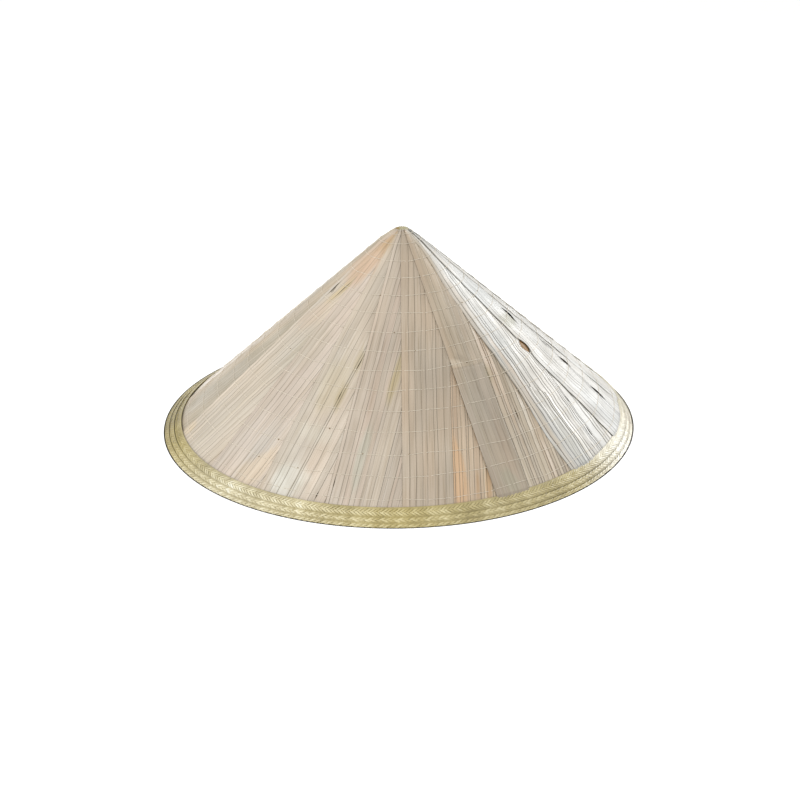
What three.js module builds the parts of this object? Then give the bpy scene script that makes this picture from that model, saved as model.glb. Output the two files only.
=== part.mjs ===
// A conical sun hat of palm leaf, at its real size in millimetres, resting on its rim with +Z up.
// Overlapping leaves radiate from the tip. They lie on an inner leaf layer, and both are sewn to bamboo
// hoops inside. Three rows of flat straw plait are sewn one below the other round the edge.
// The origin is the centre of the rim, on the surface that the hat rests on.
// Azimuth 0 is the hat's front, at -Y, and it grows towards +X.
import * as THREE from "three";

// The cone that the leaves follow, out to where the plaits cover them.
const TIP_HEIGHT = 181.5; // where the sides of the cone would meet, just above the blunt tip
const LEAF_EDGE_RADIUS = 195;
const LEAF_EDGE_HEIGHT = 9.8;
const SLOPE = Math.atan2(TIP_HEIGHT - LEAF_EDGE_HEIGHT, LEAF_EDGE_RADIUS);
const LEAF_EDGE_DOWN = LEAF_EDGE_RADIUS / Math.cos(SLOPE); // along the slope, from the meeting point

// Hand-made irregularity: the cone sits a little off the border's centre and is tipped on it.
const FOOT_RADIUS = 207; // outside this the border lies level
const CONE_SHIFT = 1.9;
const TIP_LEAN = 1.9;
const CONE_TILT = THREE.MathUtils.degToRad(0.71);

// Columns round the hat, shared by all pieces, so that neighbouring facets stay parallel.
const COLUMNS = 80;
const COLUMN_ANGLE = (2 * Math.PI) / COLUMNS;

// Layers of the wall, measured outwards from the cone.
const THICKNESS = 1;
const GAP = 0.3;
const LIFTED_TOP = 0.65; // a leaf's left edge, which lies on its neighbour
const TUCKED_TOP = LIFTED_TOP - THICKNESS - GAP; // its right edge, under the next leaf
const INNER_TOP = TUCKED_TOP - THICKNESS - GAP;
const HOOP_TOP = INNER_TOP - THICKNESS - GAP;

// Leaves: how many columns each one shows, going round from the first one's left edge.
const FIRST_LEAF_COLUMN = 0;
const LEAF_COLUMNS = [5, 5, 5, 5, 4, 5, 5, 5, 5, 5, 5, 4, 5, 5, 4, 4, 4];
const TUCKED_COLUMNS = 1; // the width that each leaf runs on under the next
const LEAF_TOP_DOWN = 10;
const LEAF_BOTTOM_DOWN = LEAF_EDGE_DOWN + 5.5;
const LEAF_STATIONS = [LEAF_TOP_DOWN, 90, 175, LEAF_EDGE_DOWN, LEAF_BOTTOM_DOWN];

// Hoops: one under each sewn row, whose spacing grows a little towards the edge, one under the short
// stitched line near the tip, and a stouter one at the leaf edge.
const HOOP_COUNT = 14;
const FIRST_HOOP_DOWN = 23.9;
const HOOP_STEP = 16.13;
const HOOP_STEP_GROWTH = 0.254;
const HOOP_WIDTH = 2.4;
const HOOP_THICKNESS = 2;
const SMALL_HOOPS = 6; // these and the tip hoop have half the facets of the others
const TIP_HOOP_DOWN = 14;
const RIM_HOOP = { down: LEAF_EDGE_DOWN + 1, width: 4, thickness: 3.4 };

// Plait rows of the border, from the leaf outwards, all of one flat braid.
const PLAIT_WIDTH = 5.5;
const PLAIT_THICKNESS = 1.8;
const PLAIT_PITCH = 5.8;
const PLAIT_OUT = LIFTED_TOP + GAP + PLAIT_THICKNESS / 2;
const PLAIT_ROWS = ["plait_upper", "plait_middle", "plait_outer"];
const FIRST_PLAIT_DOWN = LEAF_EDGE_DOWN + 3.3;

// Tip: the trimmed leaf ends, bound into a small dome on top of the leaves.
const TIP_CAP = { bottom: 175.7, radius: 7.8, height: 1.3, facets: 20, rings: 3 };

const MATERIALS = {
  leaf: new THREE.MeshStandardMaterial({ color: 0xcfc0a8, roughness: 0.5 }),
  innerLeaf: new THREE.MeshStandardMaterial({ color: 0xb08a56, roughness: 0.6 }),
  bamboo: new THREE.MeshStandardMaterial({ color: 0xc9a866, roughness: 0.45 }),
  plait: new THREE.MeshStandardMaterial({ color: 0xbcae6a, roughness: 0.4 }),
};

/** Radius and height of a point on the slope: how far down it, and how far out of it. */
function coneProfile(down, out) {
  return new THREE.Vector2(
    down * Math.cos(SLOPE) + out * Math.sin(SLOPE),
    TIP_HEIGHT - down * Math.sin(SLOPE) + out * Math.cos(SLOPE),
  );
}

/** Moves the points of a regular shape to where they lie on the hand-made hat. */
function settle(geometry) {
  const position = geometry.getAttribute("position");
  for (let i = 0; i < position.count; i++) {
    const x = position.getX(i);
    const z = position.getZ(i);
    const radius = Math.hypot(x, position.getY(i));
    const share = THREE.MathUtils.clamp(
      (FOOT_RADIUS - radius) / (FOOT_RADIUS - LEAF_EDGE_RADIUS),
      0,
      1,
    );
    position.setX(i, x + CONE_SHIFT * share + (TIP_LEAN * z) / TIP_HEIGHT);
    position.setZ(i, z + Math.tan(CONE_TILT) * x * share);
  }
  return geometry;
}

/** A ring whose section is a closed outline of radius and height, given in the turning order. */
function ring(outline, segments) {
  const closed = [...outline, outline[0].clone()];
  const geometry = new THREE.LatheGeometry(closed, segments);
  return settle(geometry.rotateX(Math.PI / 2));
}

/** The four corners of a strip's section on the slope. */
function stripOutline(top, bottom, upperDown, lowerDown) {
  return [
    coneProfile(lowerDown, bottom),
    coneProfile(lowerDown, top),
    coneProfile(upperDown, top),
    coneProfile(upperDown, bottom),
  ];
}

/** Height of a leaf's top face over the cone, at a number of columns from its left edge. */
function leafTop(column, shown) {
  const along = THREE.MathUtils.clamp((column - TUCKED_COLUMNS) / (shown - TUCKED_COLUMNS), 0, 1);
  return THREE.MathUtils.lerp(LIFTED_TOP, TUCKED_TOP, along);
}

/** One leaf: a box bent round the cone, lifted on its left and tucked under its neighbour on its right. */
function leafGeometry(firstColumn, shown) {
  const across = shown + TUCKED_COLUMNS;
  const along = LEAF_STATIONS.length - 1;
  const geometry = new THREE.BoxGeometry(1, 1, 1, across, along, 1);
  const position = geometry.getAttribute("position");
  for (let i = 0; i < position.count; i++) {
    const column = Math.round((position.getX(i) + 0.5) * across);
    const station = Math.round((0.5 - position.getY(i)) * along);
    const top = leafTop(column, shown);
    const out = position.getZ(i) > 0 ? top : top - THICKNESS;
    const place = coneProfile(LEAF_STATIONS[station], out);
    const azimuth = (firstColumn + column) * COLUMN_ANGLE;
    position.setXYZ(i, place.x * Math.sin(azimuth), -place.x * Math.cos(azimuth), place.y);
  }
  return settle(geometry);
}

/** The leaf layer under the outer leaves. It has a station at the leaf edge, where the cone's seat bends. */
function innerLayerGeometry() {
  const stations = [LEAF_BOTTOM_DOWN, LEAF_EDGE_DOWN, LEAF_TOP_DOWN];
  const outer = stations.map((down) => coneProfile(down, INNER_TOP));
  const inner = stations.map((down) => coneProfile(down, INNER_TOP - THICKNESS)).reverse();
  return ring([...outer, ...inner], COLUMNS);
}

/** One bamboo hoop against the inner layer. */
function hoopGeometry(down, width, thickness, segments) {
  return ring(
    stripOutline(HOOP_TOP, HOOP_TOP - thickness, down - width / 2, down + width / 2),
    segments,
  );
}

/** How far down the slope a sewn row and its hoop lie. */
function hoopDown(index) {
  return FIRST_HOOP_DOWN + HOOP_STEP * index + (HOOP_STEP_GROWTH * index * (index - 1)) / 2;
}

/** Cuts an outline off level at height 0, where the border rests. */
function cutAtFloor(outline) {
  const kept = [];
  outline.forEach((point, i) => {
    const next = outline[(i + 1) % outline.length];
    if (point.y >= 0) kept.push(point);
    if (point.y < 0 !== next.y < 0) {
      kept.push(point.clone().lerp(next, point.y / (point.y - next.y)).setY(0));
    }
  });
  return kept;
}

/** One row of plait, a flattened hexagon in section. */
function plaitGeometry(row) {
  const down = FIRST_PLAIT_DOWN + PLAIT_PITCH * row;
  const half = PLAIT_WIDTH / 2;
  const thick = PLAIT_THICKNESS / 2;
  const section = [
    coneProfile(down + half, PLAIT_OUT),
    coneProfile(down + half / 2, PLAIT_OUT + thick),
    coneProfile(down - half / 2, PLAIT_OUT + thick),
    coneProfile(down - half, PLAIT_OUT),
    coneProfile(down - half / 2, PLAIT_OUT - thick),
    coneProfile(down + half / 2, PLAIT_OUT - thick),
  ];
  return ring(cutAtFloor(section), COLUMNS);
}

/** The bound tip: a low dome that closes the top of the leaves. */
function tipCapGeometry() {
  const outline = [new THREE.Vector2(0, TIP_CAP.bottom)];
  for (let i = 0; i <= TIP_CAP.rings; i++) {
    const angle = (i / TIP_CAP.rings) * (Math.PI / 2);
    const radius = i === TIP_CAP.rings ? 0 : TIP_CAP.radius * Math.cos(angle);
    outline.push(new THREE.Vector2(radius, TIP_CAP.bottom + TIP_CAP.height * Math.sin(angle)));
  }
  return settle(new THREE.LatheGeometry(outline, TIP_CAP.facets).rotateX(Math.PI / 2));
}

function piece(name, geometry, material) {
  const mesh = new THREE.Mesh(geometry, material);
  mesh.name = name;
  return mesh;
}

const numbered = (name, index) => `${name}_${String(index + 1).padStart(2, "0")}`;

const leaves = new THREE.Group();
let column = FIRST_LEAF_COLUMN;
LEAF_COLUMNS.forEach((shown, i) => {
  leaves.add(piece(numbered("leaf", i), leafGeometry(column, shown), MATERIALS.leaf));
  column += shown;
});

const hoops = new THREE.Group();
const tipHoop = hoopGeometry(TIP_HOOP_DOWN, HOOP_WIDTH, HOOP_THICKNESS, COLUMNS / 4);
hoops.add(piece("tip_hoop", tipHoop, MATERIALS.bamboo));
for (let i = 0; i < HOOP_COUNT; i++) {
  const segments = i < SMALL_HOOPS ? COLUMNS / 4 : COLUMNS / 2;
  const geometry = hoopGeometry(hoopDown(i), HOOP_WIDTH, HOOP_THICKNESS, segments);
  hoops.add(piece(numbered("hoop", i), geometry, MATERIALS.bamboo));
}
const rimHoop = hoopGeometry(RIM_HOOP.down, RIM_HOOP.width, RIM_HOOP.thickness, COLUMNS / 2);
hoops.add(piece("rim_hoop", rimHoop, MATERIALS.bamboo));

const border = new THREE.Group();
PLAIT_ROWS.forEach((name, row) => border.add(piece(name, plaitGeometry(row), MATERIALS.plait)));

const hat = new THREE.Group();
hat.add(leaves, hoops, border);
hat.add(piece("inner_layer", innerLayerGeometry(), MATERIALS.innerLeaf));
hat.add(piece("tip_cap", tipCapGeometry(), MATERIALS.leaf));

export default hat;
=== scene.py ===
"""A conical sun hat of palm leaf with a border of plaited straw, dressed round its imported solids.

Sizes are in metres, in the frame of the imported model: +Z up, the hat's front at -Y. An azimuth is 0 at the
front and grows towards +X. "down" is a distance along the slope from the point where the cone's sides meet,
and "out" is a height over the slope. A leaf is drawn flat, as it lies when the cone is unrolled: "across" is
the distance from its left edge and "along" runs down that edge, so its folds are lines of one "across".
"""

import logging
import math
from dataclasses import dataclass, replace
from enum import Enum

import bpy
import numpy as np
from mathutils import Matrix, Vector


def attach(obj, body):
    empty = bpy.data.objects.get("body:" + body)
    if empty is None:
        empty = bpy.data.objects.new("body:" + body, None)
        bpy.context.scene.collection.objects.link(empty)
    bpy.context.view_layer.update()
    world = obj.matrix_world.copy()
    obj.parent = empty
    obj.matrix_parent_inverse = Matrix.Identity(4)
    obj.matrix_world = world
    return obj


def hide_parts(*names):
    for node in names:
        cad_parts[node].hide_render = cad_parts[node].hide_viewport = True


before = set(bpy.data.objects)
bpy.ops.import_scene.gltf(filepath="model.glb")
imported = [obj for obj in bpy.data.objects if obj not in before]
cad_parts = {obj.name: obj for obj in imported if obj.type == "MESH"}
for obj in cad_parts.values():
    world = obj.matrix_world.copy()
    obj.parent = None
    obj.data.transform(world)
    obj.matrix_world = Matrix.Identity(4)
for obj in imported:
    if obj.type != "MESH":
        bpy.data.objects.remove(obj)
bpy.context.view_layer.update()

LOG = logging.getLogger("hat")
MM = 0.001
TURN = 2 * math.pi
COLUMN = TURN / 80  # the step of azimuth that all pieces of the hat share
UV_SPAN = 0.3  # metres of leaf that one unit of a leaf's UV map covers


def srgb(colour: str) -> np.ndarray:
    """Turns a hex colour into three numbers from 0 to 1, still gamma coded."""
    return np.array([int(colour[i : i + 2], 16) for i in (1, 3, 5)]) / 255


def linear(coded: np.ndarray) -> np.ndarray:
    """Turns gamma coded colours into linear ones."""
    return np.where(coded <= 0.04045, coded / 12.92, ((coded + 0.055) / 1.055) ** 2.4)


def paint(colour: str) -> tuple[float, float, float, float]:
    """Turns a hex colour into a linear one for a shader's socket."""
    return (*linear(srgb(colour)).tolist(), 1.0)


def lattice(i: np.ndarray, j: np.ndarray, seed: int) -> np.ndarray:
    """Gives every whole-numbered place its own steady number from 0 to 1."""
    mixed = np.sin(i * 127.1 + j * 311.7 + seed * 74.7) * 43758.5453
    return mixed - np.floor(mixed)


def ripple(x: np.ndarray, y: np.ndarray, seed: int) -> np.ndarray:
    """Smooth noise on a plane, with one wave for each unit.

    Args:
        x: first coordinate of each place, in waves.
        y: second coordinate of each place, in waves.
        seed: which noise this is.

    Returns:
        A number from -1 to 1 for each place.
    """
    x, y = np.broadcast_arrays(np.asarray(x, float), np.asarray(y, float))
    i, j = np.floor(x), np.floor(y)
    u, v = x - i, y - j
    u, v = u * u * (3 - 2 * u), v * v * (3 - 2 * v)
    near = lattice(i, j, seed) * (1 - u) + lattice(i + 1, j, seed) * u
    far = lattice(i, j + 1, seed) * (1 - u) + lattice(i + 1, j + 1, seed) * u
    return 2 * (near * (1 - v) + far * v) - 1


def soft(low: float, high: float, x: np.ndarray) -> np.ndarray:
    """Rises smoothly from 0 at low to 1 at high."""
    t = np.clip((x - low) / (high - low), 0, 1)
    return t * t * (3 - 2 * t)


def add_node(
    tree: bpy.types.NodeTree,
    kind: str,
    inputs: dict | None = None,
    stops: list[tuple[float, str]] | None = None,
    **settings: object,
) -> bpy.types.Node:
    """Adds a node to a tree, with its settings, its values and the links that reach it.

    Args:
        tree: the node tree.
        kind: the node's type name.
        inputs: value or output socket for each input, by its name or number.
        stops: where the node has a colour ramp, a place from 0 to 1 and a hex colour for each stop.
        settings: the node's own properties.

    Returns:
        The new node.
    """
    node = tree.nodes.new(kind)
    for name, value in settings.items():
        setattr(node, name, value)
    for name, value in (inputs or {}).items():
        if isinstance(value, bpy.types.NodeSocket):
            tree.links.new(value, node.inputs[name])
        else:
            node.inputs[name].default_value = value
    if stops:
        elements = node.color_ramp.elements
        while len(elements) < len(stops):
            elements.new(0.5)
        for element, (place, colour) in zip(elements, stops):
            element.position = place
            element.color = paint(colour)
    return node


def make_object(name: str, points: np.ndarray, faces: list) -> bpy.types.Object:
    """Makes a smooth mesh object at the origin, with its place in its mesh.

    Args:
        name: the object's name.
        points: one row of x, y and z for each vertex.
        faces: the vertex numbers of each face, or of each edge where a line is wanted.

    Returns:
        The object, linked to the scene.
    """
    mesh = bpy.data.meshes.new(name)
    is_line = len(faces) > 0 and len(faces[0]) == 2
    mesh.from_pydata(points.tolist(), faces if is_line else [], [] if is_line else faces)
    mesh.update()
    if not is_line:
        mesh.shade_smooth()
    made = bpy.data.objects.new(name, mesh)
    bpy.context.scene.collection.objects.link(made)
    return made


def store(made: bpy.types.Object, name: str, kind: str, values: np.ndarray) -> None:
    """Stores one value for each vertex of an object's mesh as a named attribute."""
    key = {"FLOAT": "value", "FLOAT_VECTOR": "vector", "FLOAT_COLOR": "color"}[kind]
    made.data.attributes.new(name, kind, "POINT").data.foreach_set(key, values.ravel())


@dataclass(frozen=True)
class HatForm:
    """The cone that every piece follows, with the small errors of a hat made by hand.

    Outside the foot's radius the border lies level. Inside it the cone is shifted, leans and is tilted, and
    within its reach the tip bends aside and sinks below the point where the cone's sides would meet.
    """

    tip_height: float = 181.5 * MM
    leaf_edge_radius: float = 195 * MM
    leaf_edge_height: float = 9.8 * MM
    foot_radius: float = 207 * MM
    under_border: float = 5.5 * MM
    shift: float = 1.9 * MM
    tip_lean: float = 1.9 * MM
    tip_bend: float = 1.3 * MM
    tip_sink: float = 2.0 * MM
    tip_reach: float = 26 * MM
    tilt: float = math.radians(0.71)

    @property
    def slope(self) -> float:
        """Angle of the cone's side to the floor."""
        return math.atan2(self.tip_height - self.leaf_edge_height, self.leaf_edge_radius)

    @property
    def edge_down(self) -> float:
        """How far down the slope the leaves are seen, to the border's upper edge."""
        return self.leaf_edge_radius / math.cos(self.slope)

    @property
    def leaf_down(self) -> float:
        """How far down the slope the leaves end, under the border."""
        return self.edge_down + self.under_border

    def place(self, down: np.ndarray, azimuth: np.ndarray, out: np.ndarray) -> np.ndarray:
        """Finds points of the hat.

        Args:
            down: distance down the slope.
            azimuth: angle round the hat.
            out: height over the slope.

        Returns:
            One row of x, y and z for each point.
        """
        down, azimuth, out = np.broadcast_arrays(down, azimuth, out)
        near_tip = 1 - soft(0, self.tip_reach, down)
        out = out - self.tip_sink * near_tip
        radius = down * math.cos(self.slope) + out * math.sin(self.slope)
        height = self.tip_height - down * math.sin(self.slope) + out * math.cos(self.slope)
        x = radius * np.sin(azimuth)
        share = np.clip((self.foot_radius - radius) / (self.foot_radius - self.leaf_edge_radius), 0, 1)
        settled_x = x + self.shift * share + self.tip_lean * height / self.tip_height
        settled_x = settled_x + self.tip_bend * near_tip
        settled_z = height + math.tan(self.tilt) * x * share
        return np.stack([settled_x, -radius * np.cos(azimuth), settled_z], -1).reshape(-1, 3)

    def outward(self, azimuth: np.ndarray) -> np.ndarray:
        """Directions straight out of the slope."""
        return self._directions(azimuth, math.sin(self.slope), math.cos(self.slope))

    def downward(self, azimuth: np.ndarray) -> np.ndarray:
        """Directions straight down the slope."""
        return self._directions(azimuth, math.cos(self.slope), -math.sin(self.slope))

    @staticmethod
    def _directions(azimuth: np.ndarray, flat: float, up: float) -> np.ndarray:
        """Directions away from the hat's axis, with the given level and upright parts."""
        return np.stack([flat * np.sin(azimuth), -flat * np.cos(azimuth), np.full_like(azimuth, up)], -1)


@dataclass(frozen=True)
class SewnRows:
    """The rows of stitches, each over a hoop, and the short one close under the tip."""

    count: int = 14
    first: float = 23.9 * MM
    step: float = 16.13 * MM
    growth: float = 0.254 * MM
    tip_row: float = 14 * MM

    def downs(self) -> np.ndarray:
        """How far down the slope each row lies, the tip's row first."""
        k = np.arange(self.count)
        return np.append(self.tip_row, self.first + self.step * k + self.growth * k * (k - 1) / 2)

    def hold(self, down: np.ndarray) -> np.ndarray:
        """How firmly a leaf is held down: 1 on a row, 0 half way between two."""
        downs = self.downs()
        return 0.5 + 0.5 * np.cos(TURN * np.interp(down, downs, np.arange(len(downs))))


@dataclass(frozen=True)
class LeafFinish:
    """Dried palm leaf: a satin skin, with veins that run with the folds and a dark line of painted shade in
    each fold.

    A thin line of dirt and painted shade darkens the leaf where it meets the border, at the distance
    rim_down.
    The skin is smoother in some patches and rougher in others.
    """

    name: str
    fold_shade_colour: str
    fold_shade_strength: float
    rim_down: float = 258.9 * MM
    rim_width: float = 1 * MM
    rim_strength: float = 0.26
    vein_pitch: float = 0.9 * MM
    vein_length: float = 45 * MM
    vein_height: float = 0.15 * MM
    vein_tones: tuple[str, ...] = ("#e6e3dd", "#f9f8f6", "#ffffff")
    streak_pitch: float = 3.6 * MM
    streak_length: float = 90 * MM
    streak_tones: tuple[str, ...] = ("#eeebe6", "#faf9f8", "#ffffff")
    patch: float = 30 * MM
    roughness: float = 0.38
    smoother: float = 0.1
    rougher: float = 0.14
    bump: float = 0.25
    ior: float = 1.48

    def material(self) -> bpy.types.Material:
        """Makes the finish. The base colour is in the mesh, because it changes from fold to fold.

        Returns:
            The leaf's material.
        """
        material = bpy.data.materials.new(self.name)
        material.use_nodes = True
        tree = material.node_tree
        shader = tree.nodes["Principled BSDF"]
        tint = add_node(tree, "ShaderNodeAttribute", attribute_name="tint")
        fold = add_node(tree, "ShaderNodeAttribute", attribute_name="fold")
        flat = add_node(tree, "ShaderNodeUVMap", uv_map="leaf")
        per_vein = (UV_SPAN / self.vein_pitch, UV_SPAN / self.vein_length, 1)
        veins_at = add_node(tree, "ShaderNodeMapping", {0: flat.outputs[0], "Scale": per_vein})
        veins = add_node(tree, "ShaderNodeTexNoise", {0: veins_at.outputs[0], "Scale": 1, "Detail": 3})
        per_streak = (UV_SPAN / self.streak_pitch, UV_SPAN / self.streak_length, 1)
        streaks_at = add_node(
            tree, "ShaderNodeMapping", {0: flat.outputs[0], "Scale": per_streak, "Location": (3, 7, 0)}
        )
        streaks = add_node(tree, "ShaderNodeTexNoise", {0: streaks_at.outputs[0], "Scale": 1, "Detail": 2})
        vein_tone = add_node(
            tree,
            "ShaderNodeValToRGB",
            {0: veins.outputs[0]},
            stops=list(zip((0.3, 0.5, 0.7), self.vein_tones)),
        )
        streak_tone = add_node(
            tree,
            "ShaderNodeValToRGB",
            {0: streaks.outputs[0]},
            stops=list(zip((0.32, 0.5, 0.68), self.streak_tones)),
        )
        veined = add_node(
            tree,
            "ShaderNodeMix",
            {0: 1.0, 6: tint.outputs["Color"], 7: vein_tone.outputs[0]},
            data_type="RGBA",
            blend_type="MULTIPLY",
        )
        streaked = add_node(
            tree,
            "ShaderNodeMix",
            {0: 1.0, 6: veined.outputs[2], 7: streak_tone.outputs[0]},
            data_type="RGBA",
            blend_type="MULTIPLY",
        )
        # The fold marks are painted shade: the fold colour is mixed in by the darker of each fold's mark and
        # the rim line.
        depth = add_node(
            tree, "ShaderNodeMath", {0: fold.outputs["Fac"], 1: self.fold_shade_strength}, operation="MULTIPLY"
        )
        in_metres = add_node(tree, "ShaderNodeVectorMath", {0: flat.outputs[0]}, operation="LENGTH")
        # The rim line: the leaf painted darker where it meets the border, dirt and painted shade.
        low = (self.rim_down - self.rim_width / 2) / UV_SPAN
        high = (self.rim_down + self.rim_width / 2) / UV_SPAN
        rim = add_node(
            tree,
            "ShaderNodeMapRange",
            {0: in_metres.outputs["Value"], 1: low, 2: high, 4: self.rim_strength},
        )
        darkest = add_node(
            tree, "ShaderNodeMath", {0: depth.outputs[0], 1: rim.outputs[0]}, operation="MAXIMUM"
        )
        folded = add_node(
            tree,
            "ShaderNodeMix",
            {0: darkest.outputs[0], 6: streaked.outputs[2], 7: paint(self.fold_shade_colour)},
            data_type="RGBA",
        )
        patches = add_node(
            tree, "ShaderNodeTexNoise", {0: flat.outputs[0], "Scale": UV_SPAN / self.patch, "Detail": 2}
        )
        smooth, rough = self.roughness - self.smoother, self.roughness + self.rougher
        gloss = add_node(
            tree, "ShaderNodeMapRange", {0: patches.outputs[0], 1: 0.35, 2: 0.65, 3: smooth, 4: rough}
        )
        relief = add_node(
            tree,
            "ShaderNodeBump",
            {"Strength": self.bump, "Distance": self.vein_height, "Height": veins.outputs[0]},
        )
        tree.links.new(folded.outputs[2], shader.inputs["Base Color"])
        tree.links.new(gloss.outputs[0], shader.inputs["Roughness"])
        tree.links.new(relief.outputs[0], shader.inputs["Normal"])
        shader.inputs["IOR"].default_value = self.ior
        return material


@dataclass(frozen=True)
class StrawFinish:
    """Plant fibre, such as split straw, scraped bamboo or thread, in uneven tones from dark to pale.

    The attribute "strand" of a mesh moves the tone of each strand, with the painted light and shade that
    some meshes put in it. Where a mesh has an attribute "faded", that share of the colour is taken out and
    the
    straw is left greyish: painted sheen, where light and reflection wash the colour out. Real fibres and
    twist are a tenth or two of a millimetre wide, too fine for the render, so they are drawn as coarse as
    they need to show.
    """

    name: str
    tones: tuple[str, ...]
    fibre: float
    roughness: float
    coat: float = 0.0
    relief: float = 0.3
    fibre_height: float = 0.1 * MM
    fibre_share: float = 0.3
    patch: float = 22 * MM
    patch_share: float = 0.55
    first_tone: float = 0.2
    tone_step: float = 0.25
    sheen_greying: float = 0.85
    ior: float = 1.5

    def material(self) -> bpy.types.Material:
        """Makes the finish from two noises: patches a few centimetres long, and fibres.

        Returns:
            The material.
        """
        material = bpy.data.materials.new(self.name)
        material.use_nodes = True
        tree = material.node_tree
        shader = tree.nodes["Principled BSDF"]
        strand = add_node(tree, "ShaderNodeAttribute", attribute_name="strand")
        place = add_node(tree, "ShaderNodeTexCoord")
        patches = add_node(
            tree, "ShaderNodeTexNoise", {0: place.outputs["Object"], "Scale": 1 / self.patch, "Detail": 2}
        )
        fibres = add_node(
            tree, "ShaderNodeTexNoise", {0: place.outputs["Object"], "Scale": 1 / self.fibre, "Detail": 3}
        )
        mixed = add_node(
            tree,
            "ShaderNodeMath",
            {0: patches.outputs[0], 1: self.patch_share, 2: strand.outputs["Fac"]},
            operation="MULTIPLY_ADD",
        )
        fine = add_node(
            tree,
            "ShaderNodeMath",
            {0: fibres.outputs[0], 1: self.fibre_share, 2: mixed.outputs[0]},
            operation="MULTIPLY_ADD",
        )
        stops = [(self.first_tone + self.tone_step * k, colour) for k, colour in enumerate(self.tones)]
        tone = add_node(tree, "ShaderNodeValToRGB", {0: fine.outputs[0]}, stops=stops)
        # This attribute takes colour out of the straw: painted sheen where light washes it to grey.
        sheen_grey = add_node(tree, "ShaderNodeAttribute", attribute_name="sheen_grey")
        richness = add_node(
            tree,
            "ShaderNodeMath",
            {0: sheen_grey.outputs["Fac"], 1: -self.sheen_greying, 2: 1.0},
            operation="MULTIPLY_ADD",
        )
        colour = add_node(
            tree, "ShaderNodeHueSaturation", {"Saturation": richness.outputs[0], "Color": tone.outputs[0]}
        )
        relief = add_node(
            tree,
            "ShaderNodeBump",
            {"Strength": self.relief, "Distance": self.fibre_height, "Height": fibres.outputs[0]},
        )
        tree.links.new(colour.outputs[0], shader.inputs["Base Color"])
        tree.links.new(relief.outputs[0], shader.inputs["Normal"])
        shader.inputs["Roughness"].default_value = self.roughness
        shader.inputs["IOR"].default_value = self.ior
        shader.inputs["Coat Weight"].default_value = self.coat
        return material


# Palm leaf, whitened, pressed and folded: pale and satin, with fine veins and brown painted shade in its
# folds.
OUTER_LEAF = LeafFinish("bleached_palm_leaf", fold_shade_colour="#5b5242", fold_shade_strength=0.95)
# The same leaf for the cockled leaves on the brightly lit right side: the painted shade in its folds is grey
# and nearly black.
LIT_SIDE_LEAF = LeafFinish("palm_leaf_lit_side", fold_shade_colour="#3b3b37", fold_shade_strength=0.95)
# Palm leaf that was dried and never whitened: tan and duller, with rougher veins and faint painted shade in
# its folds.
INNER_LEAF = LeafFinish(
    "unbleached_palm_leaf", fold_shade_colour="#6b4a24", fold_shade_strength=0.6, roughness=0.55, bump=0.4
)
# Flat straw, plaited: its own skin makes it glossy. It is painted cream where a strand lies on top, a
# painted highlight, and olive in between.
PLAIT_STRAW = StrawFinish(
    "plaited_straw",
    ("#7f7240", "#a2945f", "#c4b98c", "#dcdac6"),
    fibre=1.2 * MM,
    roughness=0.34,
    coat=0.1,
    relief=0.12,
)
# Bamboo, split and scraped: yellow-brown and a little glossy, in streaks.
SPLIT_BAMBOO = StrawFinish("split_bamboo", ("#9a7840", "#c6a264", "#ddc48c"), fibre=2.5 * MM, roughness=0.42)
# Cotton thread, undyed and twisted: matt, and a little paler than the leaves.
THREAD = StrawFinish("cotton_thread", ("#bbb19e", "#ccc3b2", "#dcd4c5"), fibre=0.6 * MM, roughness=0.7)
# Ends of the same thread, knotted and trimmed, drawn as dark specks.
KNOT = StrawFinish("thread_knot", ("#5f4f3a", "#7a6850", "#97866c"), fibre=0.4 * MM, roughness=0.8)
# Leaf ends, cut across and bound: less glossy than the leaf's skin, ochre to grey.
TIP_LEAF = StrawFinish("bound_leaf_ends", ("#86703f", "#989579", "#ab9f8b"), fibre=1.6 * MM, roughness=0.5)


class Drying(Enum):
    """How a leaf dried: pressed flat, keeping its folds, cockled into waves, or with a curled edge too."""

    FLAT = "flat"
    PLEATED = "pleated"
    COCKLED = "cockled"
    CURLED = "cockled, with its left edge curled up"


@dataclass(frozen=True)
class LeafShape:
    """Relief of a leaf: its folds, its waves and how it hangs between the sewn rows.

    The shoulder is how far a fold's side reaches, the mark how dark the painted shade in the darkest fold
    is, the uneven how much paler others are, the fade how much paler each is near the tip and the hem how
    dark the painted shade along the left edge is beside them. The accordion is how far the panels between
    folds tilt, the cockle and the wander how far waves lift the leaf and bend its folds, the loose how much
    the left edge wanders too, the press how far that edge is pressed down, the wave how long the waves are,
    the sag and the lift how far the leaf hangs, and rises at its free edge, half way between two rows. The
    variation is how much the colour changes from fold to fold, and the stations are the rows of points.
    """

    fold_depth: float
    shoulder: float
    mark: float
    uneven: float
    fade: float
    accordion: float
    cockle: float
    wave: float
    wander: float
    loose: float
    sag: float
    lift: float
    variation: float
    stations: int
    edge_shade: float = 1.0
    press: float = 0.25 * MM


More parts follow.
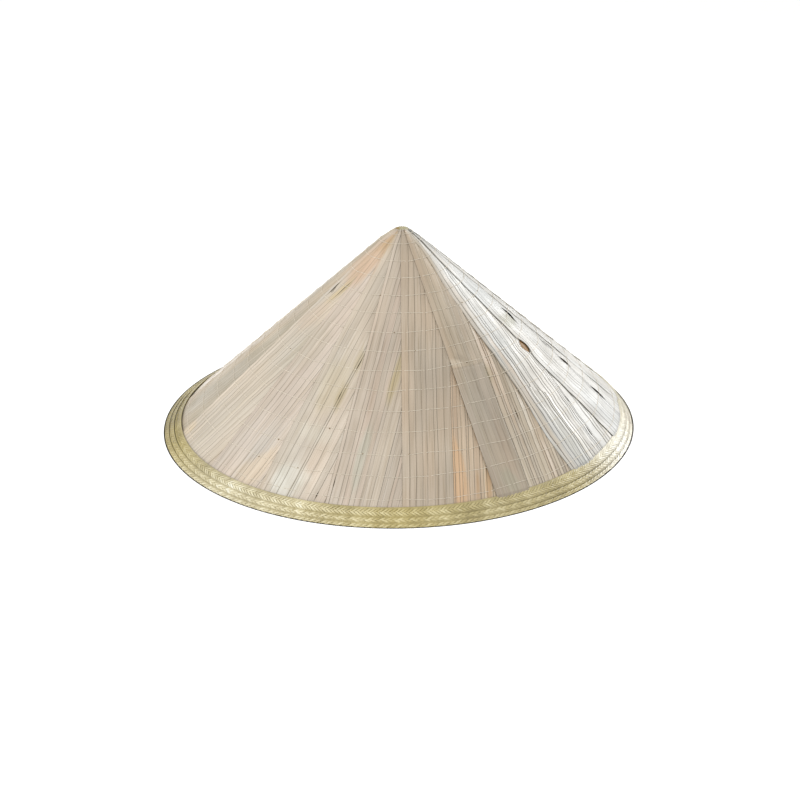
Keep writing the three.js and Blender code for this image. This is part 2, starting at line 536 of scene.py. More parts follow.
SHAPES = {
    Drying.FLAT: LeafShape(
        fold_depth=0.12 * MM,
        shoulder=0.45 * MM,
        mark=1.0,
        uneven=0.35,
        fade=0.35,
        accordion=0.03 * MM,
        cockle=0.3 * MM,
        wave=26 * MM,
        wander=0.6 * MM,
        loose=0.15,
        sag=0.2 * MM,
        lift=0.1 * MM,
        variation=0.2,
        stations=80,
    ),
    Drying.PLEATED: LeafShape(
        fold_depth=0.14 * MM,
        shoulder=0.42 * MM,
        mark=1.0,
        uneven=0.35,
        fade=0.1,
        accordion=0.06 * MM,
        cockle=0.25 * MM,
        wave=24 * MM,
        wander=0.6 * MM,
        loose=0.15,
        sag=0.22 * MM,
        lift=0.12 * MM,
        variation=0.35,
        stations=84,
    ),
    Drying.COCKLED: LeafShape(
        fold_depth=0.3 * MM,
        shoulder=0.6 * MM,
        mark=1.7,
        uneven=0.4,
        fade=0.4,
        accordion=0.12 * MM,
        cockle=0.65 * MM,
        wave=26 * MM,
        wander=2.4 * MM,
        loose=0.8,
        sag=0.3 * MM,
        lift=0.1 * MM,
        variation=0.3,
        stations=112,
        edge_shade=0.4,
        press=0.65 * MM,
    ),
}
SHAPES[Drying.CURLED] = replace(SHAPES[Drying.COCKLED], edge_shade=0.95, press=0.25 * MM)


class Side(Enum):
    """Which face of a leaf is seen."""

    OUTSIDE = "outside"
    INSIDE = "inside"


@dataclass(frozen=True)
class LeafLayer:
    """Where the leaves of one layer lie, and which of their faces is seen.

    A leaf's left edge is lifted, over its neighbour, and its right one is tucked in. The thickness lies
    behind the seen face, so it is below zero where the inside is seen.
    """

    lifted: float
    tucked: float
    thickness: float
    top_down: float
    bottom_down: float
    seen: Side = Side.OUTSIDE


@dataclass(frozen=True)
class StainOrPaintedLight:
    """A patch of another colour, about an azimuth in degrees and a share of the slope. Most are stains; some
    are painted sheen, shade or glow.

    The widening is how much wider it is at its lower end, and the drift how far that end lies to the right.
    A crisp one has corners and a sharp border, and an under one is only on sheets that lie below another.
    """

    azimuth: float
    share: float
    half_across: float
    half_along: float
    colour: str
    strength: float
    widening: float = 0.0
    drift: float = 0.0
    crisp: bool = False
    under: bool = False

    def cover(self, across: np.ndarray, along: np.ndarray) -> np.ndarray:
        """Finds how far each place lies from the patch's middle, with 1 at its border.

        Args:
            across: distance of each place from the patch's middle, across the folds.
            along: the same along the folds.

        Returns:
            The distance of each place, as a share of the patch's reach.
        """
        down = np.clip(along / self.half_along, -1, 1)
        wide = self.half_across * np.maximum(1 + self.widening * down, 0.08)
        power = 8 if self.crisp else 2
        far = abs((across - self.drift * down) / wide) ** power + abs(along / self.half_along) ** power
        return far ** (1 / power)


@dataclass(frozen=True)
class Slit:
    """A split along a fold, at an azimuth in degrees, between two shares of the slope."""

    azimuth: float
    share_from: float
    share_to: float
    width: float


@dataclass(frozen=True)
class Sheet:
    """One strip of a leaf: its colour and folds, the part of the flat leaf that it covers, and its height.

    The slant is how much lower its upper end lies for each metre across, and the kin are the colours that
    single folds lean to.
    """

    tone: str
    pitch: float
    across_from: float = 0.0
    across_to: float = 1.0
    share_from: float = 0.0
    share_to: float = 2.0
    rise: float = 0.0
    mark: float = 1.0
    variation: float = 1.0
    relief: float = 1.0
    slant: float = 0.0
    kin: tuple[str, str, str] = ("#b99c8a", "#c4b89e", "#969186")


@dataclass(frozen=True)
class Notch:
    """A piece torn out of a leaf's left edge, between two shares of the slope."""

    share_from: float
    share_to: float
    depth: float


STAINS_AND_SHEEN = (
    StainOrPaintedLight(-62, 0.17, 14 * MM, 30 * MM, "#b8997f", 0.3, widening=0.3),
    StainOrPaintedLight(-50, 0.14, 9 * MM, 34 * MM, "#b69676", 0.45, widening=0.6, drift=-3 * MM),
    StainOrPaintedLight(-38, 0.08, 4 * MM, 14 * MM, "#a3855a", 0.5, widening=0.4),
    StainOrPaintedLight(-61, 0.30, 5 * MM, 16 * MM, "#b6a06a", 0.4, drift=-3 * MM),
    StainOrPaintedLight(-50, 0.50, 16 * MM, 26 * MM, "#aaa28f", 0.3),
    StainOrPaintedLight(-66, 0.42, 14 * MM, 18 * MM, "#b7a38f", 0.35),
    StainOrPaintedLight(-39.4, 0.93, 12 * MM, 26 * MM, "#c5b297", 0.5, widening=0.85, drift=-5 * MM),
    # The next three pale grey patches are painted sheen: the gloss of the lower front-left leaf.
    StainOrPaintedLight(-29, 0.95, 19 * MM, 17 * MM, "#bdbcb2", 0.65),
    StainOrPaintedLight(-32, 0.96, 9 * MM, 8 * MM, "#cfcfc7", 0.3, drift=3 * MM),
    StainOrPaintedLight(-25, 0.93, 6 * MM, 8 * MM, "#cac9bf", 0.35, drift=-2 * MM),
    StainOrPaintedLight(-27, 0.78, 15 * MM, 9 * MM, "#b9b5a6", 0.45),
    StainOrPaintedLight(-27, 0.61, 13 * MM, 26 * MM, "#ada288", 0.5),
    StainOrPaintedLight(-22.6, 0.645, 3.5 * MM, 12 * MM, "#998a66", 0.6),
    StainOrPaintedLight(-20, 0.52, 3 * MM, 12 * MM, "#a59670", 0.45),
    StainOrPaintedLight(-11.5, 0.84, 5 * MM, 34 * MM, "#a2a293", 0.6),
    StainOrPaintedLight(-2.2, 0.56, 3 * MM, 30 * MM, "#9f9069", 0.6),
    StainOrPaintedLight(-4.4, 0.61, 2.5 * MM, 16 * MM, "#a3946f", 0.5),
    StainOrPaintedLight(14.6, 0.88, 7 * MM, 38 * MM, "#c4a07a", 0.65, widening=0.9, drift=3 * MM, under=True),
    StainOrPaintedLight(18.6, 0.95, 1.8 * MM, 16 * MM, "#a9845a", 0.4),
    StainOrPaintedLight(21.5, 0.95, 2.2 * MM, 20 * MM, "#b28e66", 0.5),
    StainOrPaintedLight(27, 0.96, 8 * MM, 12 * MM, "#93917f", 0.5, drift=2 * MM),
    # A pale band just above the top edge of leaf_02's raised piece: painted sheen.
    StainOrPaintedLight(24, 0.54, 6 * MM, 4 * MM, "#bcb1a0", 0.7, drift=2 * MM),
    StainOrPaintedLight(28, 0.525, 7 * MM, 3 * MM, "#8a7f6e", 0.5, drift=2 * MM),
    StainOrPaintedLight(38, 0.60, 4 * MM, 8 * MM, "#88815e", 0.5),
    StainOrPaintedLight(40, 0.57, 4 * MM, 34 * MM, "#ab917a", 0.35),
    StainOrPaintedLight(48, 0.12, 5 * MM, 24 * MM, "#a3957f", 0.6),
    StainOrPaintedLight(46.6, 0.36, 4 * MM, 62 * MM, "#aea18f", 0.35),
    StainOrPaintedLight(49.4, 0.58, 2 * MM, 48 * MM, "#b8a48e", 0.5),
    StainOrPaintedLight(46.4, 0.80, 3.5 * MM, 50 * MM, "#b3a48f", 0.5),
    StainOrPaintedLight(51.5, 0.30, 2 * MM, 34 * MM, "#bbad9c", 0.3),
    StainOrPaintedLight(66, 0.14, 7 * MM, 26 * MM, "#a39d92", 0.3),
    StainOrPaintedLight(76, 0.486, 12 * MM, 7 * MM, "#83826f", 1.0, drift=1 * MM, crisp=True),
    StainOrPaintedLight(-75, 0.97, 8 * MM, 10 * MM, "#c5af8b", 0.5),
    StainOrPaintedLight(205, 0.75, 12 * MM, 40 * MM, "#b89e77", 0.5),
    StainOrPaintedLight(150, 0.4, 9 * MM, 50 * MM, "#aaa393", 0.5),
    StainOrPaintedLight(250, 0.6, 8 * MM, 45 * MM, "#bca67b", 0.45),
)
# The inner layer's colour where it shows through the torn hole and the wide slit is painted: the warm light
# that comes in through the leaves, darkened by painted shade in the hole.
INNER_SHADE_AND_GLOW = (
    StainOrPaintedLight(68.8, 0.578, 14 * MM, 26 * MM, "#7c5c30", 0.95),
    StainOrPaintedLight(85, 0.5, 10 * MM, 16 * MM, "#b0713c", 0.8),
)

SLITS = (
    Slit(68.6, 0.552, 0.613, 9.5 * MM),
    Slit(84.0, 0.445, 0.525, 3.0 * MM),
    Slit(85.4, 0.62, 0.66, 1.2 * MM),
    Slit(84.2, 0.712, 0.77, 2.8 * MM),
    Slit(81.6, 0.855, 0.93, 2.8 * MM),
    Slit(87.5, 0.64, 0.69, 1.2 * MM),
    Slit(60.5, 0.91, 0.95, 0.8 * MM),
    Slit(63.5, 0.79, 0.82, 0.7 * MM),
    Slit(57.0, 0.96, 0.98, 0.6 * MM),
    Slit(39.5, 0.74, 0.78, 0.7 * MM),
    Slit(-71.5, 0.275, 0.335, 2.2 * MM),
    Slit(-59.5, 0.25, 0.33, 0.8 * MM),
    Slit(-19.5, 0.51, 0.55, 0.5 * MM),
    Slit(-23.4, 0.63, 0.66, 0.4 * MM),
    Slit(-20.6, 0.965, 0.985, 0.7 * MM),
    Slit(-17.0, 0.92, 0.94, 0.5 * MM),
    Slit(132.0, 0.55, 0.60, 1.3 * MM),
    Slit(221.0, 0.72, 0.78, 1.2 * MM),
)
# The azimuth of each knot in degrees, and its share of the slope.
KNOTS = (
    (-18, 0.30),
    (-3, 0.29),
    (-4, 0.42),
    (-61, 0.555),
    (-23, 0.775),
    (7, 0.50),
    (-28, 0.91),
    (-41, 0.91),
    (-38, 0.865),
    (2, 0.84),
    (-11, 0.84),
    (30, 0.545),
    (49, 0.34),
    (77, 0.33),
    (77, 0.62),
    (118, 0.44),
    (163, 0.72),
    (199, 0.36),
    (241, 0.80),
)


@dataclass
class Cut:
    """The points of one sheet, before they are placed on the hat, and the faces that join them."""

    across: np.ndarray
    along: np.ndarray
    out: np.ndarray
    fold: np.ndarray
    mark: np.ndarray
    ridge: np.ndarray
    faces: list[list[int]]


@dataclass
class Leaf:
    """One leaf: thin sheets folded along lines parallel to its left edge, lapped over its neighbour.

    Its waves are calm beside that edge, which lifts in a narrow strip. The folds fill most of its width and
    lie unevenly, by the jitter. A slit's sides stand up a little, and an outer leaf is thicker at its upper
    end, where the ends are gathered.
    """

    form: HatForm
    rows: SewnRows
    layer: LeafLayer
    first: float
    shown: float
    shape: LeafShape
    sheets: tuple[Sheet, ...]
    seed: int
    stains_and_light: tuple[StainOrPaintedLight, ...] = ()
    slits: tuple[Slit, ...] = ()
    notch: Notch | None = None
    calm: float = 12 * MM
    strip: float = 7 * MM
    filled: float = 0.975
    jitter: float = 0.33
    slit_lift: float = 0.8 * MM
    gathered: float = 0.6 * MM

    @property
    def reach(self) -> float:
        """Angle that the whole leaf spans when it lies flat, with the part that is tucked in."""
        return (self.shown + COLUMN) * math.cos(self.form.slope)

    def flat(self, azimuth: float, share: float) -> tuple[float, float]:
        """Finds where a place on the hat lies on the flat leaf.

        Args:
            azimuth: the place's angle round the hat.
            share: how far down the slope it lies, as a share of the way to the leaves' edge.

        Returns:
            Its distance from the leaf's left edge, and its distance down that edge.
        """
        offset = (azimuth - self.first + TURN / 2) % TURN - TURN / 2
        angle = offset * math.cos(self.form.slope)
        down = share * self.form.edge_down
        return down * math.sin(angle), down * math.cos(angle)

    def height(self, across: np.ndarray, along: np.ndarray) -> np.ndarray:
        """Finds how high the leaf's seen face lies over the slope, without its folds.

        Args:
            across: distance of each place from the leaf's left edge.
            along: distance of each place down that edge.

        Returns:
            The height of each place.
        """
        down = np.hypot(across, along)
        turned = np.arctan2(across, along) / math.cos(self.form.slope)
        tuck = np.clip((turned - COLUMN) / (self.shown - COLUMN), 0, 1)
        free = 1 - self.rows.hold(down)
        seen = 1 - tuck**4
        wave = self.shape.wave
        waves = ripple(across / (0.45 * wave), along / wave, self.seed)
        waves = waves + 0.4 * ripple(across / (0.2 * wave), along / (0.5 * wave), self.seed + 1)
        waves = waves * (0.3 + 0.7 * soft(0, self.calm, across))
        # A sewn row holds the leaf down, and what lies under the leaf keeps its waves from going deep.
        rise = self.shape.cockle * (0.25 + 0.75 * free) * np.maximum(waves, -0.35) * seen
        edge = self.shape.lift * free * np.clip(1 - across / self.strip, 0, 1)
        edge = edge - self.shape.press * np.clip(1 - across / (6 * self.shape.press), 0, 1)
        settled = self.layer.lifted + (self.layer.tucked - self.layer.lifted) * tuck
        return settled + rise + edge - self.shape.sag * free

    def top(self, across: np.ndarray, along: np.ndarray) -> np.ndarray:
        """Finds the height of the leaf's uppermost sheet.

        Args:
            across: distance of each place from the leaf's left edge.
            along: distance of each place down that edge.

        Returns:
            The height over the slope of each place.
        """
        share = np.hypot(across, along) / self.form.edge_down
        rise = np.full(across.shape, min(sheet.rise for sheet in self.sheets))
        for sheet in self.sheets:
            covers = (across > sheet.across_from) & (across < sheet.across_to)
            covers = covers & (share > sheet.share_from) & (share < sheet.share_to)
            rise = np.where(covers, np.maximum(rise, sheet.rise), rise)
        return self.height(across, along) + rise

    def _folds(self, sheet: Sheet, slits: list[tuple[float, float, float, float]]) -> np.ndarray:
        """Lays out the folds across a sheet, moved a little so that each slit lies on one.

        Args:
            sheet: the sheet.
            slits: across, along from, along to and width of each slit.

        Returns:
            The distance of each fold from the leaf's left edge, the sheet's two sides included.
        """
        width = min(self.layer.bottom_down * math.sin(self.reach) * self.filled, sheet.across_to)
        count = max(1, round((width - sheet.across_from) / sheet.pitch))
        k = np.arange(count + 1)
        jitter = self.jitter * (lattice(k, k * 0 + 3, self.seed) * 2 - 1) * (k > 0) * (k < count)
        folds = sheet.across_from + (k + jitter) * (width - sheet.across_from) / count
        movable = (k > 0) & (k < count)
        for across, *_ in slits:
            nearest = np.argmin(np.where(movable, abs(folds - across), 1.0))
            folds[nearest], movable[nearest] = across, False
        return np.sort(folds)

    def _slits(self, sheet: Sheet) -> list[tuple[float, float, float, float]]:
        """Finds the slits that lie on a sheet, clear of its sides.

        Args:
            sheet: the sheet.

        Returns:
            Across, along from, along to and width of each slit.
        """
        found = []
        for slit in self.slits:
            middle = (slit.share_from + slit.share_to) / 2
            across, along = self.flat(math.radians(slit.azimuth), middle)
            edge = min(along * math.tan(self.reach), sheet.across_to) - 2 * MM
            on_sheet = sheet.share_from < middle < sheet.share_to
            if on_sheet and 0 < along and sheet.across_from + 3 * MM < across < edge:
                half = (slit.share_to - slit.share_from) / 2 * self.form.edge_down
                found.append((across, along - half, along + half, slit.width))
        return found

    def tints(self, sheet: Sheet, cut: Cut) -> np.ndarray:
        """Finds a sheet's colour, which changes from fold to fold and in long streaks.

        Args:
            sheet: the sheet.
            cut: its points.

        Returns:
            A gamma coded colour for each point.
        """
        across, along, fold = cut.across, cut.along, cut.fold
        pick = lattice(fold, fold * 0 + 11, self.seed)[..., None]
        amount = lattice(fold, fold * 0 + 17, self.seed)[..., None]
        amount = amount * self.shape.variation * sheet.variation * 0.5
        pink, cream, grey = map(srgb, sheet.kin)
        kin = np.where(pick < 0.3, pink, np.where(pick < 0.65, cream, grey))
        colour = srgb(sheet.tone) * (1 - amount) + kin * amount
        # Streaks as wide as a fold, clouds, streaks along the veins, and patches that are warmer or cooler.
        shade = 0.03 * ripple(fold * 3.3, along / (70 * MM), self.seed + 5)
        shade = shade + 0.035 * ripple(across / (25 * MM), along / (30 * MM), self.seed + 8)
        shade = shade + 0.02 * ripple(across / (2 * MM), along / (40 * MM), self.seed + 6)
        warmth = 0.02 * ripple(across / (18 * MM), along / (45 * MM), self.seed + 9)[..., None]
        colour = colour * (1 + shade[..., None]) * (1 + warmth * np.array([0.6, -0.2, -1]))
        # Patches are stains, and some are painted light: sheen on the outer leaves, shade and glow on the
        # inner layer.
        for stain_or_light in self.stains_and_light:
            if stain_or_light.under and sheet.rise >= 0:
                continue
            middle_across, middle_along = self.flat(math.radians(stain_or_light.azimuth), stain_or_light.share)
            far = stain_or_light.cover(across - middle_across, along - middle_along)
            blur = 0.25 * ripple(across / (4 * MM), along / (20 * MM), self.seed + 7)
            faint = soft(0.95, 1.02, far) if stain_or_light.crisp else soft(0.6, 1.15, far + blur)
            mask = stain_or_light.strength * (1 - faint)[..., None]
            colour = colour * (1 - mask) + srgb(stain_or_light.colour) * mask
        return np.clip(colour, 0, 1)

    def build(self, name: str, material: bpy.types.Material) -> bpy.types.Object:
        """Builds the leaf as one object of closed sheets.

        Args:
            name: the object's name.
            material: the leaf's finish.

        Returns:
            The leaf's object.
        """
        cuts = [self._cut(sheet) for sheet in self.sheets]
        firsts = np.cumsum([0] + [len(cut.across) for cut in cuts[:-1]]).tolist()
        faces = [[first + i for i in face] for first, cut in zip(firsts, cuts) for face in cut.faces]
        across = np.concatenate([cut.across for cut in cuts])
        along = np.concatenate([cut.along for cut in cuts])
        out = np.concatenate([cut.out for cut in cuts])
        turned = np.arctan2(across, along) / math.cos(self.form.slope)
        placed = self.form.place(np.hypot(across, along), self.first + turned, out)
        leaf = make_object(name, placed, faces)
        tints = np.concatenate([self.tints(sheet, cut) for sheet, cut in zip(self.sheets, cuts)])
        store(leaf, "tint", "FLOAT_COLOR", np.hstack([linear(tints), np.ones((len(tints), 1))]))
        store(leaf, "fold", "FLOAT", np.concatenate([cut.mark for cut in cuts]))
        ridge = np.concatenate([cut.ridge + (cut.ridge > 0) * first for cut, first in zip(cuts, firsts)])
        ends = np.empty(2 * len(leaf.data.edges), int)
        leaf.data.edges.foreach_get("vertices", ends)
        left, right = ridge[ends.reshape(-1, 2)].T
        sharp = leaf.data.attributes.new("sharp_edge", "BOOLEAN", "EDGE")
        sharp.data.foreach_set("value", (left > 0) & (left == right))
        layer = leaf.data.uv_layers.new(name="leaf")
        corner = np.empty(len(leaf.data.loops), int)
        leaf.data.loops.foreach_get("vertex_index", corner)
        layer.data.foreach_set("uv", (np.stack([across, along], 1)[corner] / UV_SPAN).ravel())
        leaf.data.materials.append(material)
        return leaf

    def _cut(self, sheet: Sheet) -> Cut:
        """Lays out the points of one sheet and joins them.

        Its seen face has four columns of points for each fold: the fold, a shoulder on each side and the
        middle. The hidden face has one. A slit splits a fold's points into a left and a right one.

        Args:
            sheet: the sheet.

        Returns:
            The sheet's points and faces.
        """
        slits = self._slits(sheet)
        folds = self._folds(sheet, slits)
        gaps = np.diff(folds)
        shoulder = np.minimum(self.shape.shoulder, gaps / 3.5)
        steps = np.stack([gaps * 0, shoulder, gaps / 2, gaps - shoulder], 1)
        across_of = np.append((folds[:-1, None] + steps).ravel(), folds[-1])
        fraction = np.append((steps / gaps[:, None]).ravel(), 0)
        number = np.append(np.repeat(np.arange(len(gaps)), 4), len(gaps)).astype(float)
        is_fold = np.append(np.tile([1.0, 0, 0, 0], len(gaps)), 1.0)
        column_of = np.arange(len(across_of))

        top = max(self.layer.top_down, sheet.share_from * self.form.edge_down)
        bottom = min(self.layer.bottom_down, sheet.share_to * self.form.edge_down)
        start = np.sqrt(np.maximum(top**2 - across_of**2, 0))
        start = start + sheet.slant * (across_of - sheet.across_from)
        start = np.maximum(start, across_of / math.tan(self.reach))
        end = np.sqrt(bottom**2 - across_of**2)
        stations = max(4, round(self.shape.stations * (bottom - top) / self.layer.bottom_down))
        along = start + (end - start) * np.linspace(0, 1, stations)[:, None]
        bend = ripple(across_of / (20 * MM), along / (45 * MM), self.seed + 2)
        bend = bend + 0.35 * ripple(across_of / (6 * MM), along / (16 * MM), self.seed + 3)
        bend = bend * self.shape.wander * np.clip(abs(across_of) / (6 * MM), self.shape.loose, 1)
        across = across_of + bend * np.clip((end - start) / (30 * MM), 0, 1)
        for middle, begin, finish, width in slits:
            lens = np.sin(np.pi * np.clip((along - begin) / (finish - begin), 0, 1))
            apart = across_of - middle
            spread = width / 2 * lens * np.exp(-abs(apart) / (0.8 * width + 1 * MM))
            across = across + np.sign(apart) * spread
        if self.notch:
            begin, finish = (self.form.edge_down * s for s in (self.notch.share_from, self.notch.share_to))
            lens = np.sin(np.pi * np.clip((along - begin) / (finish - begin), 0, 1))
            across = across + self.notch.depth * lens * np.exp(-across_of / (1.4 * self.notch.depth))

        tilt = 2 * ripple(number * 3.7, along / (40 * MM), self.seed + 10) * (1 - 2 * fraction)
        relief = self.shape.accordion * tilt * (1 - is_fold) - self.shape.fold_depth * is_fold
        out = self.height(across, along) + relief * sheet.relief + sheet.rise
        near_tip = 1 - soft(0.25, 0.6, along / self.form.edge_down)
        pale = self.shape.uneven * lattice(number, number, self.seed)
        # A fold that holds a slit is marked darkest of all: painted shade in the opening.
        for middle, *_ in slits:
            pale[np.argmin(abs(across_of - middle))] = -0.15
        # Each fold's mark is painted shade in the fold: uneven from fold to fold, and paler near the tip.
        mark = is_fold * (1 - pale) * np.ones_like(out)
        # The first column is the leaf's left edge: its mark is painted shade along the lapped edge.
        mark[:, 0] *= self.shape.edge_shade
        mark = mark * (0.95 + 0.35 * ripple(number * 5.1, along / (30 * MM), self.seed + 4))
        mark = np.minimum(mark * self.shape.mark * sheet.mark, 1.15) * (1 - self.shape.fade * near_tip)

        columns = np.flatnonzero(is_fold)
        under_out = self.height(across[:, columns], along[:, columns]) - self.layer.thickness
        under_out = under_out - self.shape.fold_depth + sheet.rise
        if self.layer.seen is Side.OUTSIDE:
            under_out[0] -= self.gathered
        rows, wide = across.shape
        points = [across.ravel(), across[:, columns].ravel()]
        lines = [along.ravel(), along[:, columns].ravel()]
        heights = [out.ravel(), under_out.ravel()]
        numbers = [np.tile(number, rows), np.tile(number[columns], rows)]
        marks = [mark.ravel(), np.full(rows * len(columns), 0.1)]
        is_ridge = (column_of % 4 == 1) | (column_of % 4 == 3)
        ridges = [np.tile(column_of * is_ridge, rows)]

        seen_right = np.arange(rows * wide).reshape(rows, wide)
        under_right = rows * wide + np.arange(rows * len(columns)).reshape(rows, len(columns))
        seen_left, under_left = seen_right.copy(), under_right.copy()
        count = rows * (wide + len(columns))
        slit_walls = []
        for middle, begin, finish, width in slits:
            g = int(np.argmin(abs(across_of[columns] - middle)))
            column = columns[g]
            inside = np.flatnonzero((along[:, column] > begin) & (along[:, column] < finish))
            if len(inside) < 2 or g in (0, len(columns) - 1):
                continue
            lens = np.sin(np.pi * (along[inside, column] - begin) / (finish - begin))
            half = width / 2 * np.clip(lens, 0.1, 1)
            base = across[inside, column]
            # The lips of a slit and the hidden face round it take the dark mark 1.1: painted shade in the
            # opening.
            for right_ids, h, at in (
                (seen_right, out[inside, column], column),
                (under_right, under_out[inside, g], g),
            ):
                right_ids[inside, at] = count + np.arange(len(inside))
                count += len(inside)
                points.append(base + half)
                lines.append(along[inside, column])
                heights.append(h + min(0.25 * width, self.slit_lift) * lens)
                numbers.append(np.full(len(inside), number[column]))
                marks.append(np.full(len(inside), 1.1))
            points[0][inside * wide + column] = base - half
            points[1][inside * len(columns) + g] = base - half
            marks[1][inside * len(columns) + g] = 1.1
            slit_walls.append((column, g, inside[0] - 1, inside[-1] + 1))

        ridges.append(np.zeros(count - rows * wide, int))
        faces = self._faces(seen_left, seen_right, under_left, under_right, columns, slit_walls)
        return Cut(*map(np.concatenate, (points, lines, heights, numbers, marks, ridges)), faces)

    def _faces(
        self,
        seen_left: np.ndarray,
        seen_right: np.ndarray,
        under_left: np.ndarray,
        under_right: np.ndarray,
        columns: np.ndarray,
        slit_walls: list[tuple[int, int, int, int]],
    ) -> list[list[int]]:
        """Joins the points of a leaf's two faces into a closed sheet.

        Args:
            seen_left: for each point of the seen face, the number used by the faces on its left.
            seen_right: the same for the faces on its right.
            under_left: the same as seen_left, for the hidden face.
            under_right: the same as seen_right, for the hidden face.
            columns: which columns of the seen face the hidden face has.
            slit_walls: column on the seen and the hidden face, first row and last row of each slit.

        Returns:
            The vertex numbers of each face, with the faces pointing out of the sheet.
        """

        def strip(a: np.ndarray, b: np.ndarray, c: np.ndarray, d: np.ndarray) -> list[list[int]]:
            """Quads whose corners are the same entries of four arrays."""
            return np.stack([a.ravel(), b.ravel(), c.ravel(), d.ravel()], 1).tolist()

        faces = strip(seen_right[:-1, :-1], seen_right[1:, :-1], seen_left[1:, 1:], seen_left[:-1, 1:])
        faces += strip(under_right[:-1, :-1], under_left[:-1, 1:], under_left[1:, 1:], under_right[1:, :-1])
        faces += strip(under_right[:-1, 0], under_right[1:, 0], seen_right[1:, 0], seen_right[:-1, 0])
        faces += strip(under_left[:-1, -1], seen_left[:-1, -1], seen_left[1:, -1], under_left[1:, -1])
        for g in range(len(columns) - 1):
            a, b = columns[g], columns[g + 1]
            upper = [under_right[0, g], *seen_right[0, a:b], seen_left[0, b], under_left[0, g + 1]]
            lower = [under_right[-1, g], under_left[-1, g + 1], seen_left[-1, b], *seen_right[-1, a:b][::-1]]
            faces += [[int(i) for i in upper], [int(i) for i in lower]]
        for column, g, begin, end in slit_walls:
            rows = slice(begin, end), slice(begin + 1, end + 1)
            faces += strip(
                under_left[rows[0], g],
                seen_left[rows[0], column],
                seen_left[rows[1], column],
                under_left[rows[1], g],
            )
            faces += strip(
                under_right[rows[0], g],
                under_right[rows[1], g],
                seen_right[rows[1], column],
                seen_right[rows[0], column],
            )
        if self.layer.seen is Side.INSIDE:
            faces = [face[::-1] for face in faces]
        return faces


@dataclass(frozen=True)
class LeafRow:
    """One outer leaf as the photograph shows it, or as its neighbours suggest."""

    columns: int
    drying: Drying
    sheets: tuple[Sheet, ...]
    notch: Notch | None = None


OUTER_LEAVES = (
    LeafRow(
        5,
        Drying.PLEATED,
        (
            Sheet("#a89a88", 5.0 * MM, across_to=40 * MM),
            Sheet(
                "#b5a28b",
                3.4 * MM,
                across_from=34 * MM,
                share_from=0.45,
                rise=-0.45 * MM,
                mark=1.1,
                variation=3,
                relief=2,
                kin=("#bf9c76", "#cbbca2", "#a58f79"),
            ),
        ),
    ),
    LeafRow(
        5,
        Drying.PLEATED,
        (
            Sheet("#a39683", 4.8 * MM, across_to=28.5 * MM, share_to=0.62, mark=0.7, variation=0.5),
            Sheet(
                "#a99d8b",
                3.3 * MM,
                across_from=24 * MM,
                rise=-0.45 * MM,
                mark=1.4,
                variation=2.6,
                relief=4,
                kin=("#b8a48c", "#c8bfab", "#8d8272"),
            ),
            Sheet(
                "#9a8f7f",
                4.8 * MM,
                across_from=-0.6 * MM,
                across_to=28.5 * MM,
                share_from=0.56,
                rise=0.45 * MM,
                mark=0.5,
                variation=0.6,
            ),
        ),
    ),
    LeafRow(
        5,
        Drying.COCKLED,
        (
            Sheet("#b4b3ae", 4.2 * MM, variation=1.8, kin=("#c2c1be", "#c7c6c2", "#a2a098")),
            Sheet(
                "#b6b5af",
                3.6 * MM,
                across_from=14 * MM,
                across_to=31 * MM,
                share_from=0.695,
                rise=0.35 * MM,
                mark=0.9,
                relief=1.4,
                variation=3,
                slant=0.9,
                kin=("#d8d7d3", "#dddcd7", "#9f9d94"),
            ),
        ),
    ),
    LeafRow(
        5,
        Drying.CURLED,
        (Sheet("#a7a7a3", 5.6 * MM, relief=0.7, kin=("#babab8", "#bdbdba", "#989893")),),
        notch=Notch(0.545, 0.62, 5.2 * MM),
    ),
    LeafRow(4, Drying.COCKLED, (Sheet("#a2a19c", 6 * MM, mark=0.6, kin=("#b4b3af", "#b9b8b3", "#9b9b96")),)),
    LeafRow(5, Drying.PLEATED, (Sheet("#a6a59e", 5 * MM, mark=0.5, kin=("#b9b8b5", "#bebdb8", "#9f9f9a")),)),
    LeafRow(5, Drying.FLAT, (Sheet("#aea28f", 5.2 * MM),)),
    LeafRow(5, Drying.PLEATED, (Sheet("#aa9d87", 4.4 * MM),)),
    LeafRow(5, Drying.PLEATED, (Sheet("#b2a691", 4.8 * MM),)),
    LeafRow(5, Drying.FLAT, (Sheet("#ac9f8d", 5.4 * MM),)),
    LeafRow(5, Drying.PLEATED, (Sheet("#aa9c88", 4.5 * MM),)),
    LeafRow(4, Drying.FLAT, (Sheet("#b1a696", 5.2 * MM),)),
    LeafRow(5, Drying.FLAT, (Sheet("#a29783", 5.3 * MM),)),
    LeafRow(5, Drying.FLAT, (Sheet("#b5ab9c", 5.2 * MM),)),
    LeafRow(4, Drying.FLAT, (Sheet("#b5ab9f", 5.4 * MM),)),
    LeafRow(4, Drying.FLAT, (Sheet("#aea495", 6.2 * MM),)),
    LeafRow(4, Drying.PLEATED, (Sheet("#aea293", 4.4 * MM),)),
)


